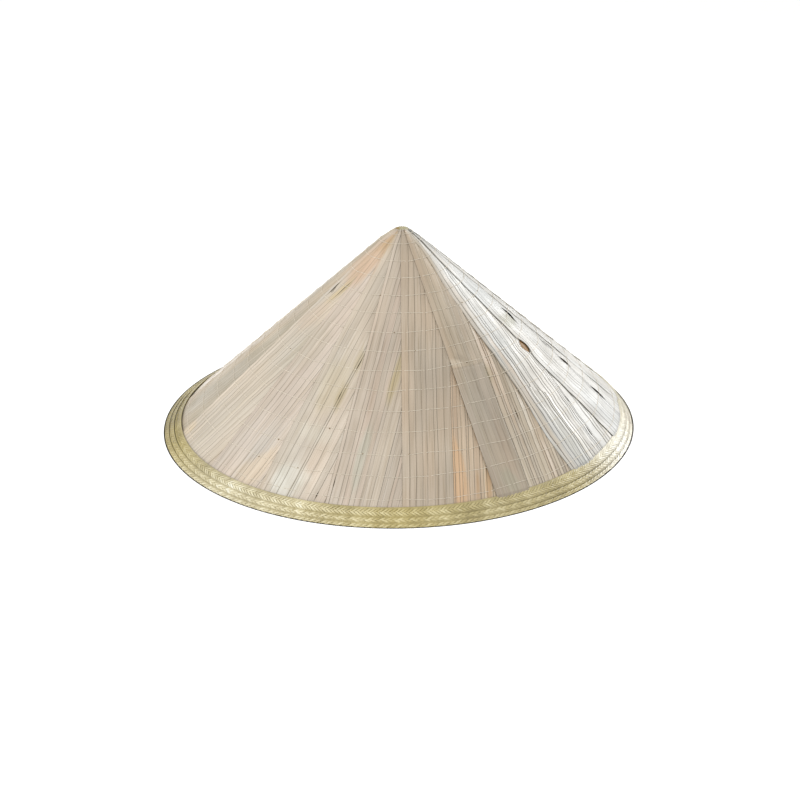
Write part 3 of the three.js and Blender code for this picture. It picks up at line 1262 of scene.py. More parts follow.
@dataclass
class OuterLeaves:
    """The leaves that are seen from outside, each one over its left neighbour's right side."""

    form: HatForm
    rows: SewnRows
    lifted: float = 0.45 * MM
    tucked: float = -0.4 * MM
    thickness: float = 0.35 * MM
    top_down: float = 8.2 * MM

    def __post_init__(self) -> None:
        """Lays the leaves out round the hat."""
        layer = LeafLayer(
            lifted=self.lifted,
            tucked=self.tucked,
            thickness=self.thickness,
            top_down=self.top_down,
            bottom_down=self.form.leaf_down,
        )
        self.leaves: list[Leaf] = []
        column = 0
        for index, row in enumerate(OUTER_LEAVES):
            leaf = Leaf(
                self.form,
                self.rows,
                layer,
                column * COLUMN,
                row.columns * COLUMN,
                SHAPES[row.drying],
                row.sheets,
                seed=20 + 10 * index,
                stains_and_light=STAINS_AND_SHEEN,
                slits=SLITS,
                notch=row.notch,
            )
            self.leaves.append(leaf)
            column += row.columns

    def surface(self, down: np.ndarray, azimuth: np.ndarray) -> np.ndarray:
        """Finds the height of the outermost leaf face.

        Args:
            down: distance of each place down the slope.
            azimuth: angle of each place round the hat.

        Returns:
            The height over the slope of each place.
        """
        azimuth = azimuth % TURN
        found = np.zeros_like(down)
        for leaf in self.leaves:
            here = (azimuth >= leaf.first) & (azimuth < leaf.first + leaf.shown)
            angle = (azimuth[here] - leaf.first) * math.cos(self.form.slope)
            found[here] = leaf.top(down[here] * np.sin(angle), down[here] * np.cos(angle))
        return found

    def build(self) -> list[bpy.types.Object]:
        """Builds every leaf in place of its solid.

        Returns:
            The leaves' objects.
        """
        warm, white = OUTER_LEAF.material(), LIT_SIDE_LEAF.material()
        made = []
        for index, (leaf, row) in enumerate(zip(self.leaves, OUTER_LEAVES)):
            node = f"leaf_{index + 1:02d}"
            # The cockled leaves lie on the brightly lit side, and take the copy whose painted fold shade is
            # darker.
            on_lit_side = row.drying in (Drying.COCKLED, Drying.CURLED)
            piece = leaf.build(f"palm_{node}", white if on_lit_side else warm)
            made.append(hand_over(piece, "leaf", node))
        return made


@dataclass
class InnerLeaves:
    """The leaves of the inner layer, whose inner face is seen from below, between the hoops."""

    form: HatForm
    rows: SewnRows
    count: int = 16
    pitch: float = 6.5 * MM
    tones: tuple[str, ...] = ("#c79a5e", "#cfa56a", "#bf8f52", "#c9a063")
    patched: int = 2

    def build(self) -> bpy.types.Object:
        """Builds the layer as one piece of lapped leaves.

        Returns:
            The layer's object.
        """
        layer = LeafLayer(
            lifted=-2.9 * MM,
            tucked=-2.35 * MM,
            thickness=-0.3 * MM,
            top_down=10 * MM,
            bottom_down=self.form.leaf_down,
            seen=Side.INSIDE,
        )
        shape = LeafShape(
            fold_depth=-0.12 * MM,
            shoulder=0.5 * MM,
            mark=0.8,
            uneven=0.5,
            fade=0.0,
            accordion=0.0,
            cockle=0.0,
            wave=30 * MM,
            wander=0.5 * MM,
            loose=0.15,
            sag=0.0,
            lift=0.0,
            variation=0.5,
            stations=46,
        )
        material = INNER_LEAF.material()
        leaves = []
        for index in range(self.count):
            leaf = Leaf(
                self.form,
                self.rows,
                layer,
                (index + 0.37) * TURN / self.count,
                TURN / self.count,
                shape,
                self._sheets(index),
                seed=400 + 10 * index,
                stains_and_light=INNER_SHADE_AND_GLOW,
            )
            leaves.append(leaf.build(f"inner_leaf_{index + 1:02d}", material))
        return hand_over(joined("inner_leaves", leaves), "inner_leaf", "inner_layer")

    def _sheets(self, index: int) -> tuple[Sheet, ...]:
        """Gives a leaf its sheet, and the leaf behind the torn place a second one pressed up against it.

        Args:
            index: the leaf's number round the hat.

        Returns:
            The leaf's sheets.
        """
        whole = Sheet(self.tones[index % len(self.tones)], self.pitch)
        if index != self.patched:
            return (whole,)
        patch = Sheet(
            self.tones[0],
            self.pitch,
            across_from=21 * MM,
            across_to=37 * MM,
            share_from=0.54,
            share_to=0.625,
            rise=1.15 * MM,
        )
        return (whole, patch)


def joined(name: str, parts: list[bpy.types.Object]) -> bpy.types.Object:
    """Joins objects into the first of them, and names it.

    Args:
        name: the joined object's name.
        parts: the objects.

    Returns:
        The joined object.
    """
    with bpy.context.temp_override(active_object=parts[0], selected_editable_objects=parts):
        bpy.ops.object.join()
    parts[0].name = parts[0].data.name = name
    return parts[0]


def hand_over(piece: bpy.types.Object, slot: str, *nodes: str) -> bpy.types.Object:
    """Ties a finished piece to the hat's one body.

    Args:
        piece: the finished object.
        slot: the name of a material slot; not used.
        nodes: the solids that it stands for.

    Returns:
        The piece.
    """
    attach(piece, "root")
    if nodes:
        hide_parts(*nodes)
    return piece


class GeometryTree:
    """A geometry node tree with named inputs, run once on an object."""

    def __init__(self, name: str, inputs: dict[str, str]) -> None:
        """Makes the tree and its inputs.

        Args:
            name: the tree's name.
            inputs: the socket type of each named input.
        """
        self.tree = bpy.data.node_groups.new(name, "GeometryNodeTree")
        self.tree.interface.new_socket("Geometry", in_out="INPUT", socket_type="NodeSocketGeometry")
        self.tree.interface.new_socket("Geometry", in_out="OUTPUT", socket_type="NodeSocketGeometry")
        for label, kind in inputs.items():
            self.tree.interface.new_socket(label, in_out="INPUT", socket_type=kind)
        self.given = self.tree.nodes.new("NodeGroupInput").outputs

    def add(self, kind: str, inputs: dict | None = None, **settings: object) -> bpy.types.NodeOutputs:
        """Adds a node, and gives its outputs."""
        return add_node(self.tree, kind, inputs, **settings).outputs

    def close(self, geometry: bpy.types.NodeSocket) -> None:
        """Ends the tree: its instances are made real and it gets the material.

        Args:
            geometry: what the tree has made.
        """
        real = self.add("GeometryNodeRealizeInstances", {0: geometry})
        smooth = self.add("GeometryNodeSetShadeSmooth", {0: real[0]})
        dressed = self.add("GeometryNodeSetMaterial", {0: smooth[0], "Material": self.given["Material"]})
        add_node(self.tree, "NodeGroupOutput", {0: dressed[0]})

    def run(self, source: bpy.types.Object, name: str, values: dict[str, object]) -> bpy.types.Object:
        """Runs the tree on an object, and turns the result into a plain mesh.

        Args:
            source: the object that the tree starts from, which is then removed.
            name: the new object's name.
            values: the value of each named input.

        Returns:
            The new object.
        """
        modifier = source.modifiers.new(self.tree.name, "NODES")
        modifier.node_group = self.tree
        for item in self.tree.interface.items_tree:
            if item.in_out == "INPUT" and item.name in values:
                modifier[item.identifier] = values[item.name]
        depsgraph = bpy.context.evaluated_depsgraph_get()
        mesh = bpy.data.meshes.new_from_object(source.evaluated_get(depsgraph), depsgraph=depsgraph)
        mesh.name = name
        bpy.data.objects.remove(source)
        made = bpy.data.objects.new(name, mesh)
        bpy.context.scene.collection.objects.link(made)
        return made


def strand_tree() -> GeometryTree:
    """Makes a tree that turns lines into strands of flat or round section, square to the hat's slope.

    Returns:
        The tree. Its lines have the attributes "outward" and "swell".
    """
    sizes = {"Width": "NodeSocketFloat", "Thickness": "NodeSocketFloat", "Sides": "NodeSocketInt"}
    tree = GeometryTree("strand", {**sizes, "Material": "NodeSocketMaterial"})
    path = tree.add("GeometryNodeMeshToCurve", {0: tree.given["Geometry"]})
    outward = tree.add("GeometryNodeInputNamedAttribute", {"Name": "outward"}, data_type="FLOAT_VECTOR")
    upright = tree.add("GeometryNodeSetCurveNormal", {0: path[0], "Normal": outward[0]}, mode="FREE")
    section = tree.add(
        "GeometryNodeCurvePrimitiveCircle", {"Resolution": tree.given["Sides"], "Radius": 0.5}
    )
    size = tree.add("ShaderNodeCombineXYZ", {0: tree.given["Thickness"], 1: tree.given["Width"], 2: 1.0})
    sized = tree.add("GeometryNodeTransform", {0: section[0], "Scale": size[0]})
    swell = tree.add("GeometryNodeInputNamedAttribute", {"Name": "swell"}, data_type="FLOAT")
    swept = tree.add(
        "GeometryNodeCurveToMesh", {0: upright[0], 1: sized[0], "Scale": swell[0], "Fill Caps": True}
    )
    tree.close(swept[0])
    return tree


def knot_tree() -> GeometryTree:
    """Makes a tree that sets a small flattened ball, of uneven size, on each point.

    Returns:
        The tree. Its points have the attribute "outward".
    """
    sizes = {"Size": "NodeSocketFloat", "Seed": "NodeSocketInt"}
    tree = GeometryTree("knot", {**sizes, "Material": "NodeSocketMaterial"})
    ball = tree.add("GeometryNodeMeshIcoSphere", {"Radius": 0.5, "Subdivisions": 3})
    flat = tree.add("GeometryNodeTransform", {0: ball[0], "Scale": (1.0, 0.8, 0.5)})
    outward = tree.add("GeometryNodeInputNamedAttribute", {"Name": "outward"}, data_type="FLOAT_VECTOR")
    turn = tree.add("FunctionNodeAlignRotationToVector", {"Vector": outward[0]})
    uneven = tree.add("FunctionNodeRandomValue", {2: 0.7, 3: 1.15, "Seed": tree.given["Seed"]})
    size = tree.add("ShaderNodeMath", {0: uneven[1], 1: tree.given["Size"]}, operation="MULTIPLY")
    knots = tree.add(
        "GeometryNodeInstanceOnPoints",
        {0: tree.given["Geometry"], "Instance": flat[0], "Rotation": turn[0], "Scale": size[0]},
    )
    tree.close(knots[0])
    return tree


def plait_tree(ply: float = 0.95, straw_sides: int = 8, core_sides: int = 14) -> GeometryTree:
    """Makes a tree that weaves strands of straw over a core, along a line, and rests them on the floor.

    Each strand swings from edge to edge. It lies on top while it goes from the middle to an edge, and below
    while it comes back, which gives two columns of slanting straws. The crest is where the row is highest,
    as a share of the sway. Straws are painted paler there and where they lie on top, a painted highlight,
    the more so where the line's painted light round the ring is brighter.

    Args:
        ply: how sharply a strand turns back at the row's edge, up to 1 for a straight zigzag.
        straw_sides: how many sides a strand has round its section.
        core_sides: how many sides the core has.

    Returns:
        The tree. Its line has the attributes "outward", "downward", "run" and "bleach".
    """
    floats = ("Straw Width", "Straw Thickness", "Sway", "Rise", "Arch", "Crest", "Tilt", "Loose", "Periods")
    sizes = {label: "NodeSocketFloat" for label in (*floats, "Core Width", "Core Thickness")}
    tree = GeometryTree("plait", {**sizes, "Strands": "NodeSocketInt", "Material": "NodeSocketMaterial"})
    run = tree.add("GeometryNodeInputNamedAttribute", {"Name": "run"}, data_type="FLOAT")
    light_tone = tree.add("GeometryNodeInputNamedAttribute", {"Name": "light_tone"}, data_type="FLOAT")
    outward = tree.add("GeometryNodeInputNamedAttribute", {"Name": "outward"}, data_type="FLOAT_VECTOR")
    downward = tree.add("GeometryNodeInputNamedAttribute", {"Name": "downward"}, data_type="FLOAT_VECTOR")
    path = tree.add("GeometryNodeMeshToCurve", {0: tree.given["Geometry"]})
    copies = tree.add(
        "GeometryNodeDuplicateElements", {0: path[0], "Amount": tree.given["Strands"]}, domain="SPLINE"
    )
    strand = tree.add(
        "ShaderNodeMath", {0: copies["Duplicate Index"], 1: tree.given["Strands"]}, operation="DIVIDE"
    )
    turns = tree.add(
        "ShaderNodeMath", {0: run[0], 1: tree.given["Periods"], 2: strand[0]}, operation="MULTIPLY_ADD"
    )
    phase = tree.add("ShaderNodeMath", {0: turns[0], 1: TURN}, operation="MULTIPLY")
    faster = tree.add("ShaderNodeMath", {0: phase[0], 1: 2.0}, operation="MULTIPLY")
    wave = tree.add("ShaderNodeMath", {0: phase[0]}, operation="SINE")
    blunt = tree.add("ShaderNodeMath", {0: wave[0], 1: ply}, operation="MULTIPLY")
    zigzag = tree.add("ShaderNodeMath", {0: blunt[0]}, operation="ARCSINE")
    side = tree.add("ShaderNodeMath", {0: zigzag[0], 1: 1 / math.asin(ply)}, operation="MULTIPLY")
    lift = tree.add("ShaderNodeMath", {0: faster[0]}, operation="SINE")
    sway = tree.add("ShaderNodeMath", {0: side[0], 1: tree.given["Sway"]}, operation="MULTIPLY")
    rise = tree.add("ShaderNodeMath", {0: lift[0], 1: tree.given["Rise"]}, operation="MULTIPLY")
    apart = tree.add("ShaderNodeMath", {0: side[0], 1: tree.given["Crest"]}, operation="SUBTRACT")
    square = tree.add("ShaderNodeMath", {0: apart[0], 1: apart[0]}, operation="MULTIPLY")
    inner = tree.add("ShaderNodeMath", {0: 1.0, 1: square[0]}, operation="SUBTRACT")
    height = tree.add(
        "ShaderNodeMath", {0: inner[0], 1: tree.given["Arch"], 2: rise[0]}, operation="MULTIPLY_ADD"
    )
    lean = tree.add("ShaderNodeMath", {0: apart[0], 1: tree.given["Tilt"]}, operation="MULTIPLY")
    across = tree.add("ShaderNodeVectorMath", {0: downward[0], "Scale": sway[0]}, operation="SCALE")
    over = tree.add("ShaderNodeVectorMath", {0: outward[0], "Scale": height[0]}, operation="SCALE")
    woven = tree.add("ShaderNodeVectorMath", {0: across[0], 1: over[0]}, operation="ADD")
    # Each strand strays from its place by itself, over a length of 8 mm.
    drift = tree.add(
        "ShaderNodeTexNoise", {"W": strand[0], "Scale": 1 / (8 * MM), "Detail": 1.0}, noise_dimensions="4D"
    )
    centred = tree.add("ShaderNodeVectorMath", {0: drift[1], 1: (0.5, 0.5, 0.5)}, operation="SUBTRACT")
    loose = tree.add(
        "ShaderNodeVectorMath", {0: centred[0], "Scale": tree.given["Loose"]}, operation="SCALE"
    )
    offset = tree.add("ShaderNodeVectorMath", {0: woven[0], 1: loose[0]}, operation="ADD")
    leaned = tree.add("ShaderNodeVectorMath", {0: downward[0], "Scale": lean[0]}, operation="SCALE")
    facing = tree.add("ShaderNodeVectorMath", {0: outward[0], 1: leaned[0]}, operation="ADD")
    # The tone differs from strand to strand, and rises on top of the weave and at the crest: painted
    # highlight.
    uneven = tree.add("ShaderNodeMath", {0: strand[0], 1: 2 * TURN}, operation="MULTIPLY")
    kind = tree.add("ShaderNodeMath", {0: uneven[0]}, operation="SINE")
    varied = tree.add("ShaderNodeMath", {0: kind[0], 1: 0.09, 2: -0.12}, operation="MULTIPLY_ADD")
    raised = tree.add("ShaderNodeMath", {0: lift[0], 1: 0.11, 2: varied[0]}, operation="MULTIPLY_ADD")
    highlighted = tree.add("ShaderNodeMath", {0: inner[0], 1: 0.24, 2: raised[0]}, operation="MULTIPLY_ADD")
    clear = tree.add(
        "ShaderNodeMath", {0: light_tone[0], 1: 2.0, 2: 0.75}, operation="MULTIPLY_ADD", use_clamp=True
    )
    tone = tree.add("ShaderNodeMath", {0: highlighted[0], 1: clear[0], 2: light_tone[0]}, operation="MULTIPLY_ADD")
    marked = tree.add(
        "GeometryNodeStoreNamedAttribute", {0: copies[0], "Name": "strand", "Value": tone[0]}
    )
    faced = tree.add("GeometryNodeSetCurveNormal", {0: marked[0], "Normal": facing[0]}, mode="FREE")
    upright = tree.add("GeometryNodeSetPosition", {0: faced[0], "Offset": offset[0]})
    section = tree.add("GeometryNodeCurvePrimitiveCircle", {"Resolution": straw_sides, "Radius": 0.5})
    size = tree.add(
        "ShaderNodeCombineXYZ", {0: tree.given["Straw Thickness"], 1: tree.given["Straw Width"], 2: 1.0}
    )
    sized = tree.add("GeometryNodeTransform", {0: section[0], "Scale": size[0]})
    swept = tree.add("GeometryNodeCurveToMesh", {0: upright[0], 1: sized[0]})

    # The core fills the gaps between the strands, painted a little darker than they are as shade in the
    # gaps, with a point every degree.
    coarse = tree.add("GeometryNodeResampleCurve", {0: path[0], "Count": 360})
    shade = tree.add("ShaderNodeMath", {0: light_tone[0], 1: 0.6, 2: -0.02}, operation="MULTIPLY_ADD")
    dark = tree.add("GeometryNodeStoreNamedAttribute", {0: coarse[0], "Name": "strand", "Value": shade[0]})
    spine = tree.add("GeometryNodeSetCurveNormal", {0: dark[0], "Normal": outward[0]}, mode="FREE")
    ring = tree.add("GeometryNodeCurvePrimitiveCircle", {"Resolution": core_sides, "Radius": 0.5})
    bulk = tree.add(
        "ShaderNodeCombineXYZ", {0: tree.given["Core Thickness"], 1: tree.given["Core Width"], 2: 1.0}
    )
    filled = tree.add("GeometryNodeTransform", {0: ring[0], "Scale": bulk[0]})
    core = tree.add("GeometryNodeCurveToMesh", {0: spine[0], 1: filled[0]})
    both = add_node(tree.tree, "GeometryNodeJoinGeometry", {0: swept[0]})
    tree.tree.links.new(core[0], both.inputs[0])

    place = tree.add("ShaderNodeSeparateXYZ", {0: tree.add("GeometryNodeInputPosition")[0]})
    rested = tree.add("ShaderNodeMath", {0: place[2], 1: 0.0}, operation="MAXIMUM")
    level = tree.add("ShaderNodeCombineXYZ", {0: place[0], 1: place[1], 2: rested[0]})
    laid = tree.add("GeometryNodeSetPosition", {0: both.outputs[0], "Position": level[0]})
    tree.close(laid[0])
    return tree


def ring_line(form: HatForm, down: float, out: float, count: int) -> tuple[bpy.types.Object, np.ndarray]:
    """Makes a closed line round the hat, with the slope's directions stored on it.

    Args:
        form: the hat's form.
        down: how far down the slope it lies.
        out: its height over the slope.
        count: how many points it has.

    Returns:
        The line's object, and the azimuth of each of its points.
    """
    azimuth = np.arange(count) * TURN / count
    ids = np.arange(count)
    edges = np.stack([ids, (ids + 1) % count], 1).tolist()
    line = make_object("line", form.place(down, azimuth, out), edges)
    store(line, "outward", "FLOAT_VECTOR", form.outward(azimuth))
    store(line, "downward", "FLOAT_VECTOR", form.downward(azimuth))
    store(line, "run", "FLOAT", azimuth / TURN)
    return line, azimuth


@dataclass
class Hoops:
    """Hoops of split bamboo inside the hat, one under each sewn row and a stouter one at the edge."""

    form: HatForm
    rows: SewnRows
    out: float = -3.25 * MM
    width: float = 2.4 * MM
    thickness: float = 2 * MM
    rim_below: float = 1 * MM
    rim_width: float = 4 * MM
    rim_thickness: float = 3.4 * MM
    step: float = 1.6 * MM
    sides: int = 8

    def build(self) -> list[bpy.types.Object]:
        """Builds every hoop in place of its solid.

        Returns:
            The hoops' objects.
        """
        tree = strand_tree()
        material = SPLIT_BAMBOO.material()
        nodes = ["tip_hoop"] + [f"hoop_{k + 1:02d}" for k in range(self.rows.count)] + ["rim_hoop"]
        downs = [*self.rows.downs(), self.form.edge_down + self.rim_below]
        made = []
        for index, (node, down) in enumerate(zip(nodes, downs)):
            is_rim = node == "rim_hoop"
            width = self.rim_width if is_rim else self.width
            thickness = self.rim_thickness if is_rim else self.thickness
            count = int(np.clip(down / self.step, 40, 150))
            line, azimuth = ring_line(self.form, down, self.out - thickness / 2, count)
            # The strip is split a little unevenly, and thicker at the cane's knuckles.
            knuckle = np.exp(-((((azimuth * 1.5 + index) % 1.9) - 0.9) * 14) ** 2)
            swell = 1 + 0.05 * ripple(azimuth * 4, azimuth * 0, 60 + index) + 0.12 * knuckle
            store(line, "swell", "FLOAT", swell)
            values = {"Width": width, "Thickness": thickness, "Sides": self.sides, "Material": material}
            made.append(hand_over(tree.run(line, f"bamboo_{node}", values), "bamboo", node))
        return made


@dataclass
class SewingThread:
    """The thread: long stitches on the leaves outside, and a short turn over the hoop inside."""

    form: HatForm
    rows: SewnRows
    leaves: OuterLeaves
    hoops: Hoops
    thickness: float = 0.35 * MM
    stitch: float = 17 * MM
    gap: float = 0.45 * MM
    wobble: float = 0.9 * MM
    step: float = 2 * MM
    dip: float = 0.5 * MM
    bite: float = 0.2 * MM
    turn_points: int = 7
    sides: int = 5
    knot_width: float = 1.3 * MM
    knot_out: float = 0.1 * MM

    def _holes(self, row: int, down: float) -> tuple[np.ndarray, np.ndarray]:
        """Finds the needle holes of a row, unevenly spaced.

        Args:
            row: the row's number.
            down: how far down the slope the row lies.

        Returns:
            The azimuth of each hole, and its distance down the slope.
        """
        radius = down * math.cos(self.form.slope)
        count = max(5, round(TURN * radius / self.stitch))
        k = np.arange(count)
        azimuth = (k + 0.3 * lattice(k, k * 0 + row, 5)) * TURN / count
        return azimuth, down + self.wobble * (2 * lattice(k, k * 0 + row, 6) - 1)

    def build(self) -> list[bpy.types.Object]:
        """Builds the stitches outside, the turns over the hoops inside and the knots.

        Returns:
            Their three objects.
        """
        points, edges, azimuths = [], [], []
        inner_points, inner_edges, inner_azimuths = [], [], []
        for row, down in enumerate(self.rows.downs()):
            azimuth, holes = self._holes(row, down)
            radius = down * math.cos(self.form.slope)
            gap = self.gap / radius / 2
            for k in range(len(azimuth)):
                begin, end = azimuth[k] + gap, azimuth[(k + 1) % len(azimuth)] - gap
                end += TURN if end < begin else 0
                count = max(4, math.ceil((end - begin) * radius / self.step))
                at = np.linspace(begin, end, count)
                lie = np.linspace(holes[k], holes[(k + 1) % len(holes)], count)
                height = self.leaves.surface(lie, at)
                taut = np.maximum(height, np.convolve(np.pad(height, 1, "edge"), [0.5, 0, 0.5], "valid"))
                taut = taut + self.thickness * 0.4
                taut[[0, -1]] -= self.dip
                self._append(points, edges, azimuths, self.form.place(lie, at, taut), at)
            # Inside, the thread comes out above the hoop, lies over it and goes in again below.
            turn = np.linspace(-0.62, 0.62, self.turn_points) * math.pi
            reach = self.hoops.width / 2 + self.thickness
            depth = self.hoops.thickness + self.thickness * 0.6
            lies = down + reach * np.sin(turn)
            height = self.hoops.out + self.bite - depth * np.clip(np.cos(turn) + 0.35, 0, 1)
            for hole in azimuth:
                at = np.full(self.turn_points, hole)
                placed = self.form.place(lies, at, height)
                self._append(inner_points, inner_edges, inner_azimuths, placed, at)
        material = THREAD.material()
        made = []
        for name, sets in (
            ("outer_stitches", (points, edges, azimuths)),
            ("inner_stitches", (inner_points, inner_edges, inner_azimuths)),
        ):
            azimuth = np.concatenate(sets[2])
            line = make_object("line", np.concatenate(sets[0]), sum(sets[1], []))
            store(line, "outward", "FLOAT_VECTOR", self.form.outward(azimuth))
            store(line, "swell", "FLOAT", np.ones(len(azimuth)))
            values = {"Width": self.thickness, "Thickness": self.thickness, "Sides": self.sides}
            made.append(
                hand_over(strand_tree().run(line, name, {**values, "Material": material}), "plait")
            )
        made.append(self._knots())
        return made

    def _knots(self) -> bpy.types.Object:
        """Builds the small dark knots at the charted places, each on the nearest sewn row.

        Returns:
            The knots' object.
        """
        azimuth, share = np.array(KNOTS).T
        azimuth = np.radians(azimuth)
        downs = self.rows.downs()
        down = downs[np.argmin(abs(share[:, None] * self.form.edge_down - downs), 1)]
        placed = self.form.place(down, azimuth, self.leaves.surface(down, azimuth) + self.knot_out)
        spots = make_object("spots", placed, [[0, 1]])
        store(spots, "outward", "FLOAT_VECTOR", self.form.outward(azimuth))
        values = {"Size": self.knot_width, "Seed": 4, "Material": KNOT.material()}
        return hand_over(knot_tree().run(spots, "thread_knots", values), "plait")

    @staticmethod
    def _append(points: list, edges: list, azimuths: list, placed: np.ndarray, at: np.ndarray) -> None:
        """Adds one open line to what is gathered for an object.

        Args:
            points: the places of each line so far.
            edges: the edges of each line so far.
            azimuths: the azimuths of each line's points so far.
            placed: the places of the new line's points.
            at: their azimuths.
        """
        first = sum(len(p) for p in points)
        edges.append([[first + i, first + i + 1] for i in range(len(placed) - 1)])
        points.append(placed)
        azimuths.append(at)


@dataclass(frozen=True)
class Plait:
    """One row of the border: how far its middle lies below the leaves, its half width and its weave."""

    node: str
    below: float
    sway: float
    strands: int = 5
    crest: float = 0.0
    straw_width: float = 1.85 * MM
    period: float = 23 * MM
    points_per_period: int = 18


@dataclass
class Border:
    """Three rows of straw plait round the edge, a wide one and two narrow ones that it partly covers.

    The two charts are pairs of an azimuth in degrees and an amount: the first lifts or lowers the straw's
    tone round the ring, painted light and shade, and the second greys it, painted sheen where light washes
    it out.
    """

    form: HatForm
    plaits: tuple[Plait, ...] = (
        Plait("plait_upper", below=3.9 * MM, sway=3.4 * MM, strands=7, crest=0.2, straw_width=1.6 * MM),
        Plait("plait_middle", below=10.4 * MM, sway=1.95 * MM),
        Plait("plait_outer", below=15.8 * MM, sway=2.05 * MM),
    )
    # Painted light and shade: how much the straw's tone is lifted or lowered round the ring.
    light_and_shade: tuple[tuple[float, float], ...] = (
        (-110, -0.46),
        (-90, -0.44),
        (-80, -0.2),
        (-68, -0.02),
        (-42, 0.12),
        (-25, 0.03),
        (-10, 0.03),
        (0, 0.0),
        (30, -0.07),
        (45, -0.05),
        (58, 0.12),
        (70, 0.2),
        (82, 0.0),
        (95, -0.26),
        (140, 0.0),
        (200, 0.0),
        (250, -0.1),
    )
    # Painted sheen: how much colour is taken out round the ring, where light and reflection wash the straw
    # out.
    sheen_grey: tuple[tuple[float, float], ...] = (
        (-110, 0.0),
        (-70, 0.0),
        (-55, 0.25),
        (-40, 0.3),
        (-25, 0.2),
        (0, 0.0),
        (20, 0.15),
        (45, 0.15),
        (58, 0.5),
        (70, 0.65),
        (82, 0.5),
        (95, 0.35),
        (140, 0.3),
        (200, 0.1),
        (250, 0.0),
    )
    out: float = 0.55 * MM
    straw_thickness: float = 0.6 * MM
    loose: float = 0.7 * MM
    rise: float = 0.3 * MM
    arch: float = 0.4 * MM
    tilt: float = 0.35
    core_thickness: float = 0.9 * MM
    core_straws: float = 1.2

    def build(self) -> list[bpy.types.Object]:
        """Builds each row in place of its solid. Its core is wider than the sway by so many straws.

        Returns:
            The rows' objects.
        """
        tree = plait_tree()
        material = PLAIT_STRAW.material()
        # Both charts are painted light: light and shade, and sheen, round the ring.
        charts = {"light_tone": np.array(self.light_and_shade).T, "sheen_grey": np.array(self.sheen_grey).T}
        made = []
        for plait in self.plaits:
            down = self.form.edge_down + plait.below
            radius = down * math.cos(self.form.slope)
            periods = round(TURN * radius / plait.period)
            line, azimuth = ring_line(self.form, down, self.out, periods * plait.points_per_period)
            for name, (at, amounts) in charts.items():
                store(line, name, "FLOAT", np.interp(np.degrees(azimuth), at, amounts, period=360))
            values = {
                "Straw Width": plait.straw_width,
                "Straw Thickness": self.straw_thickness,
                "Loose": self.loose,
                "Sway": plait.sway,
                "Rise": self.rise,
                "Arch": self.arch,
                "Crest": plait.crest,
                "Tilt": self.tilt,
                "Periods": float(periods),
                "Core Width": 2 * plait.sway + self.core_straws * plait.straw_width,
                "Core Thickness": self.core_thickness,
                "Strands": plait.strands,
                "Material": material,
            }
            made.append(hand_over(tree.run(line, f"straw_{plait.node}", values), "plait", plait.node))
        return made


@dataclass
class Tip:
    """The gathered leaf ends at the top, trimmed and bound into a low ribbed dome."""

    form: HatForm
    radius: float = 5.8 * MM
    top: float = 175.6 * MM
    rim_height: float = 174.2 * MM
    skirt: float = 1.3 * MM
    ribs: int = 17
    rib_depth: float = 0.5 * MM
    ochre_azimuth: float = math.radians(290)
    ochre_width: float = 0.6
    segments: int = 104
    rings: int = 9

    def build(self) -> bpy.types.Object:
        """Builds the dome as a closed body in place of its solid.

        Returns:
            The dome's object.
        """
        azimuth = np.arange(self.segments) * TURN / self.segments
        share = np.linspace(0, 1, self.rings)[1:, None]
        rib = np.abs(np.sin(azimuth * self.ribs / 2 + 0.6 * ripple(azimuth * 2, azimuth * 0, 9)))
        radius = share * self.radius * (1 + 0.04 * ripple(azimuth * 3, azimuth * 0, 8) - 0.07 * (1 - rib))
        dome = self.top - (self.top - self.rim_height) * (0.15 * share**2 + 0.85 * share**5)
        height = dome - self.rib_depth * (1 - rib) * soft(0.15, 0.6, share)
        ochre = np.exp(-(((azimuth - self.ochre_azimuth) / self.ochre_width) ** 2)) * soft(0.3, 0.8, share)
        # Paler towards the rim, darker between the ribs as painted shade, and darker on the side that is
        # still ochre.
        tone = 0.3 * share**2 - 0.35 * (1 - rib) * share - 0.6 * ochre
        middle = self.form.tip_lean + self.form.shift + self.form.tip_bend
        x = radius * np.sin(azimuth) + middle
        y = -radius * np.cos(azimuth)
        upper = np.stack([x, y, height], -1).reshape(-1, 3)
        centre = [middle, 0, self.top - 0.1 * MM]
        foot = np.full(self.segments, self.rim_height - self.skirt)
        lower = np.stack([middle + (x[-1] - middle) * 0.97, y[-1] * 0.97, foot], -1)
        base = [middle, 0, foot[0]]
        points = np.vstack([upper, lower, [centre], [base]])
        count, rings = self.segments, self.rings - 1
        faces = []
        for s in range(count):
            n = (s + 1) % count
            faces.append([rings * count + count, s, n])
            for r in range(rings):
                faces.append([r * count + s, (r + 1) * count + s, (r + 1) * count + n, r * count + n])
            faces.append([rings * count + count + 1, rings * count + n, rings * count + s])
        tip = make_object("bound_tip", points, faces)
        store(tip, "strand", "FLOAT", np.concatenate([tone.ravel(), tone[-1], [0, 0]]))
        tip.data.materials.append(TIP_LEAF.material())
        return hand_over(tip, "leaf", "tip_cap")


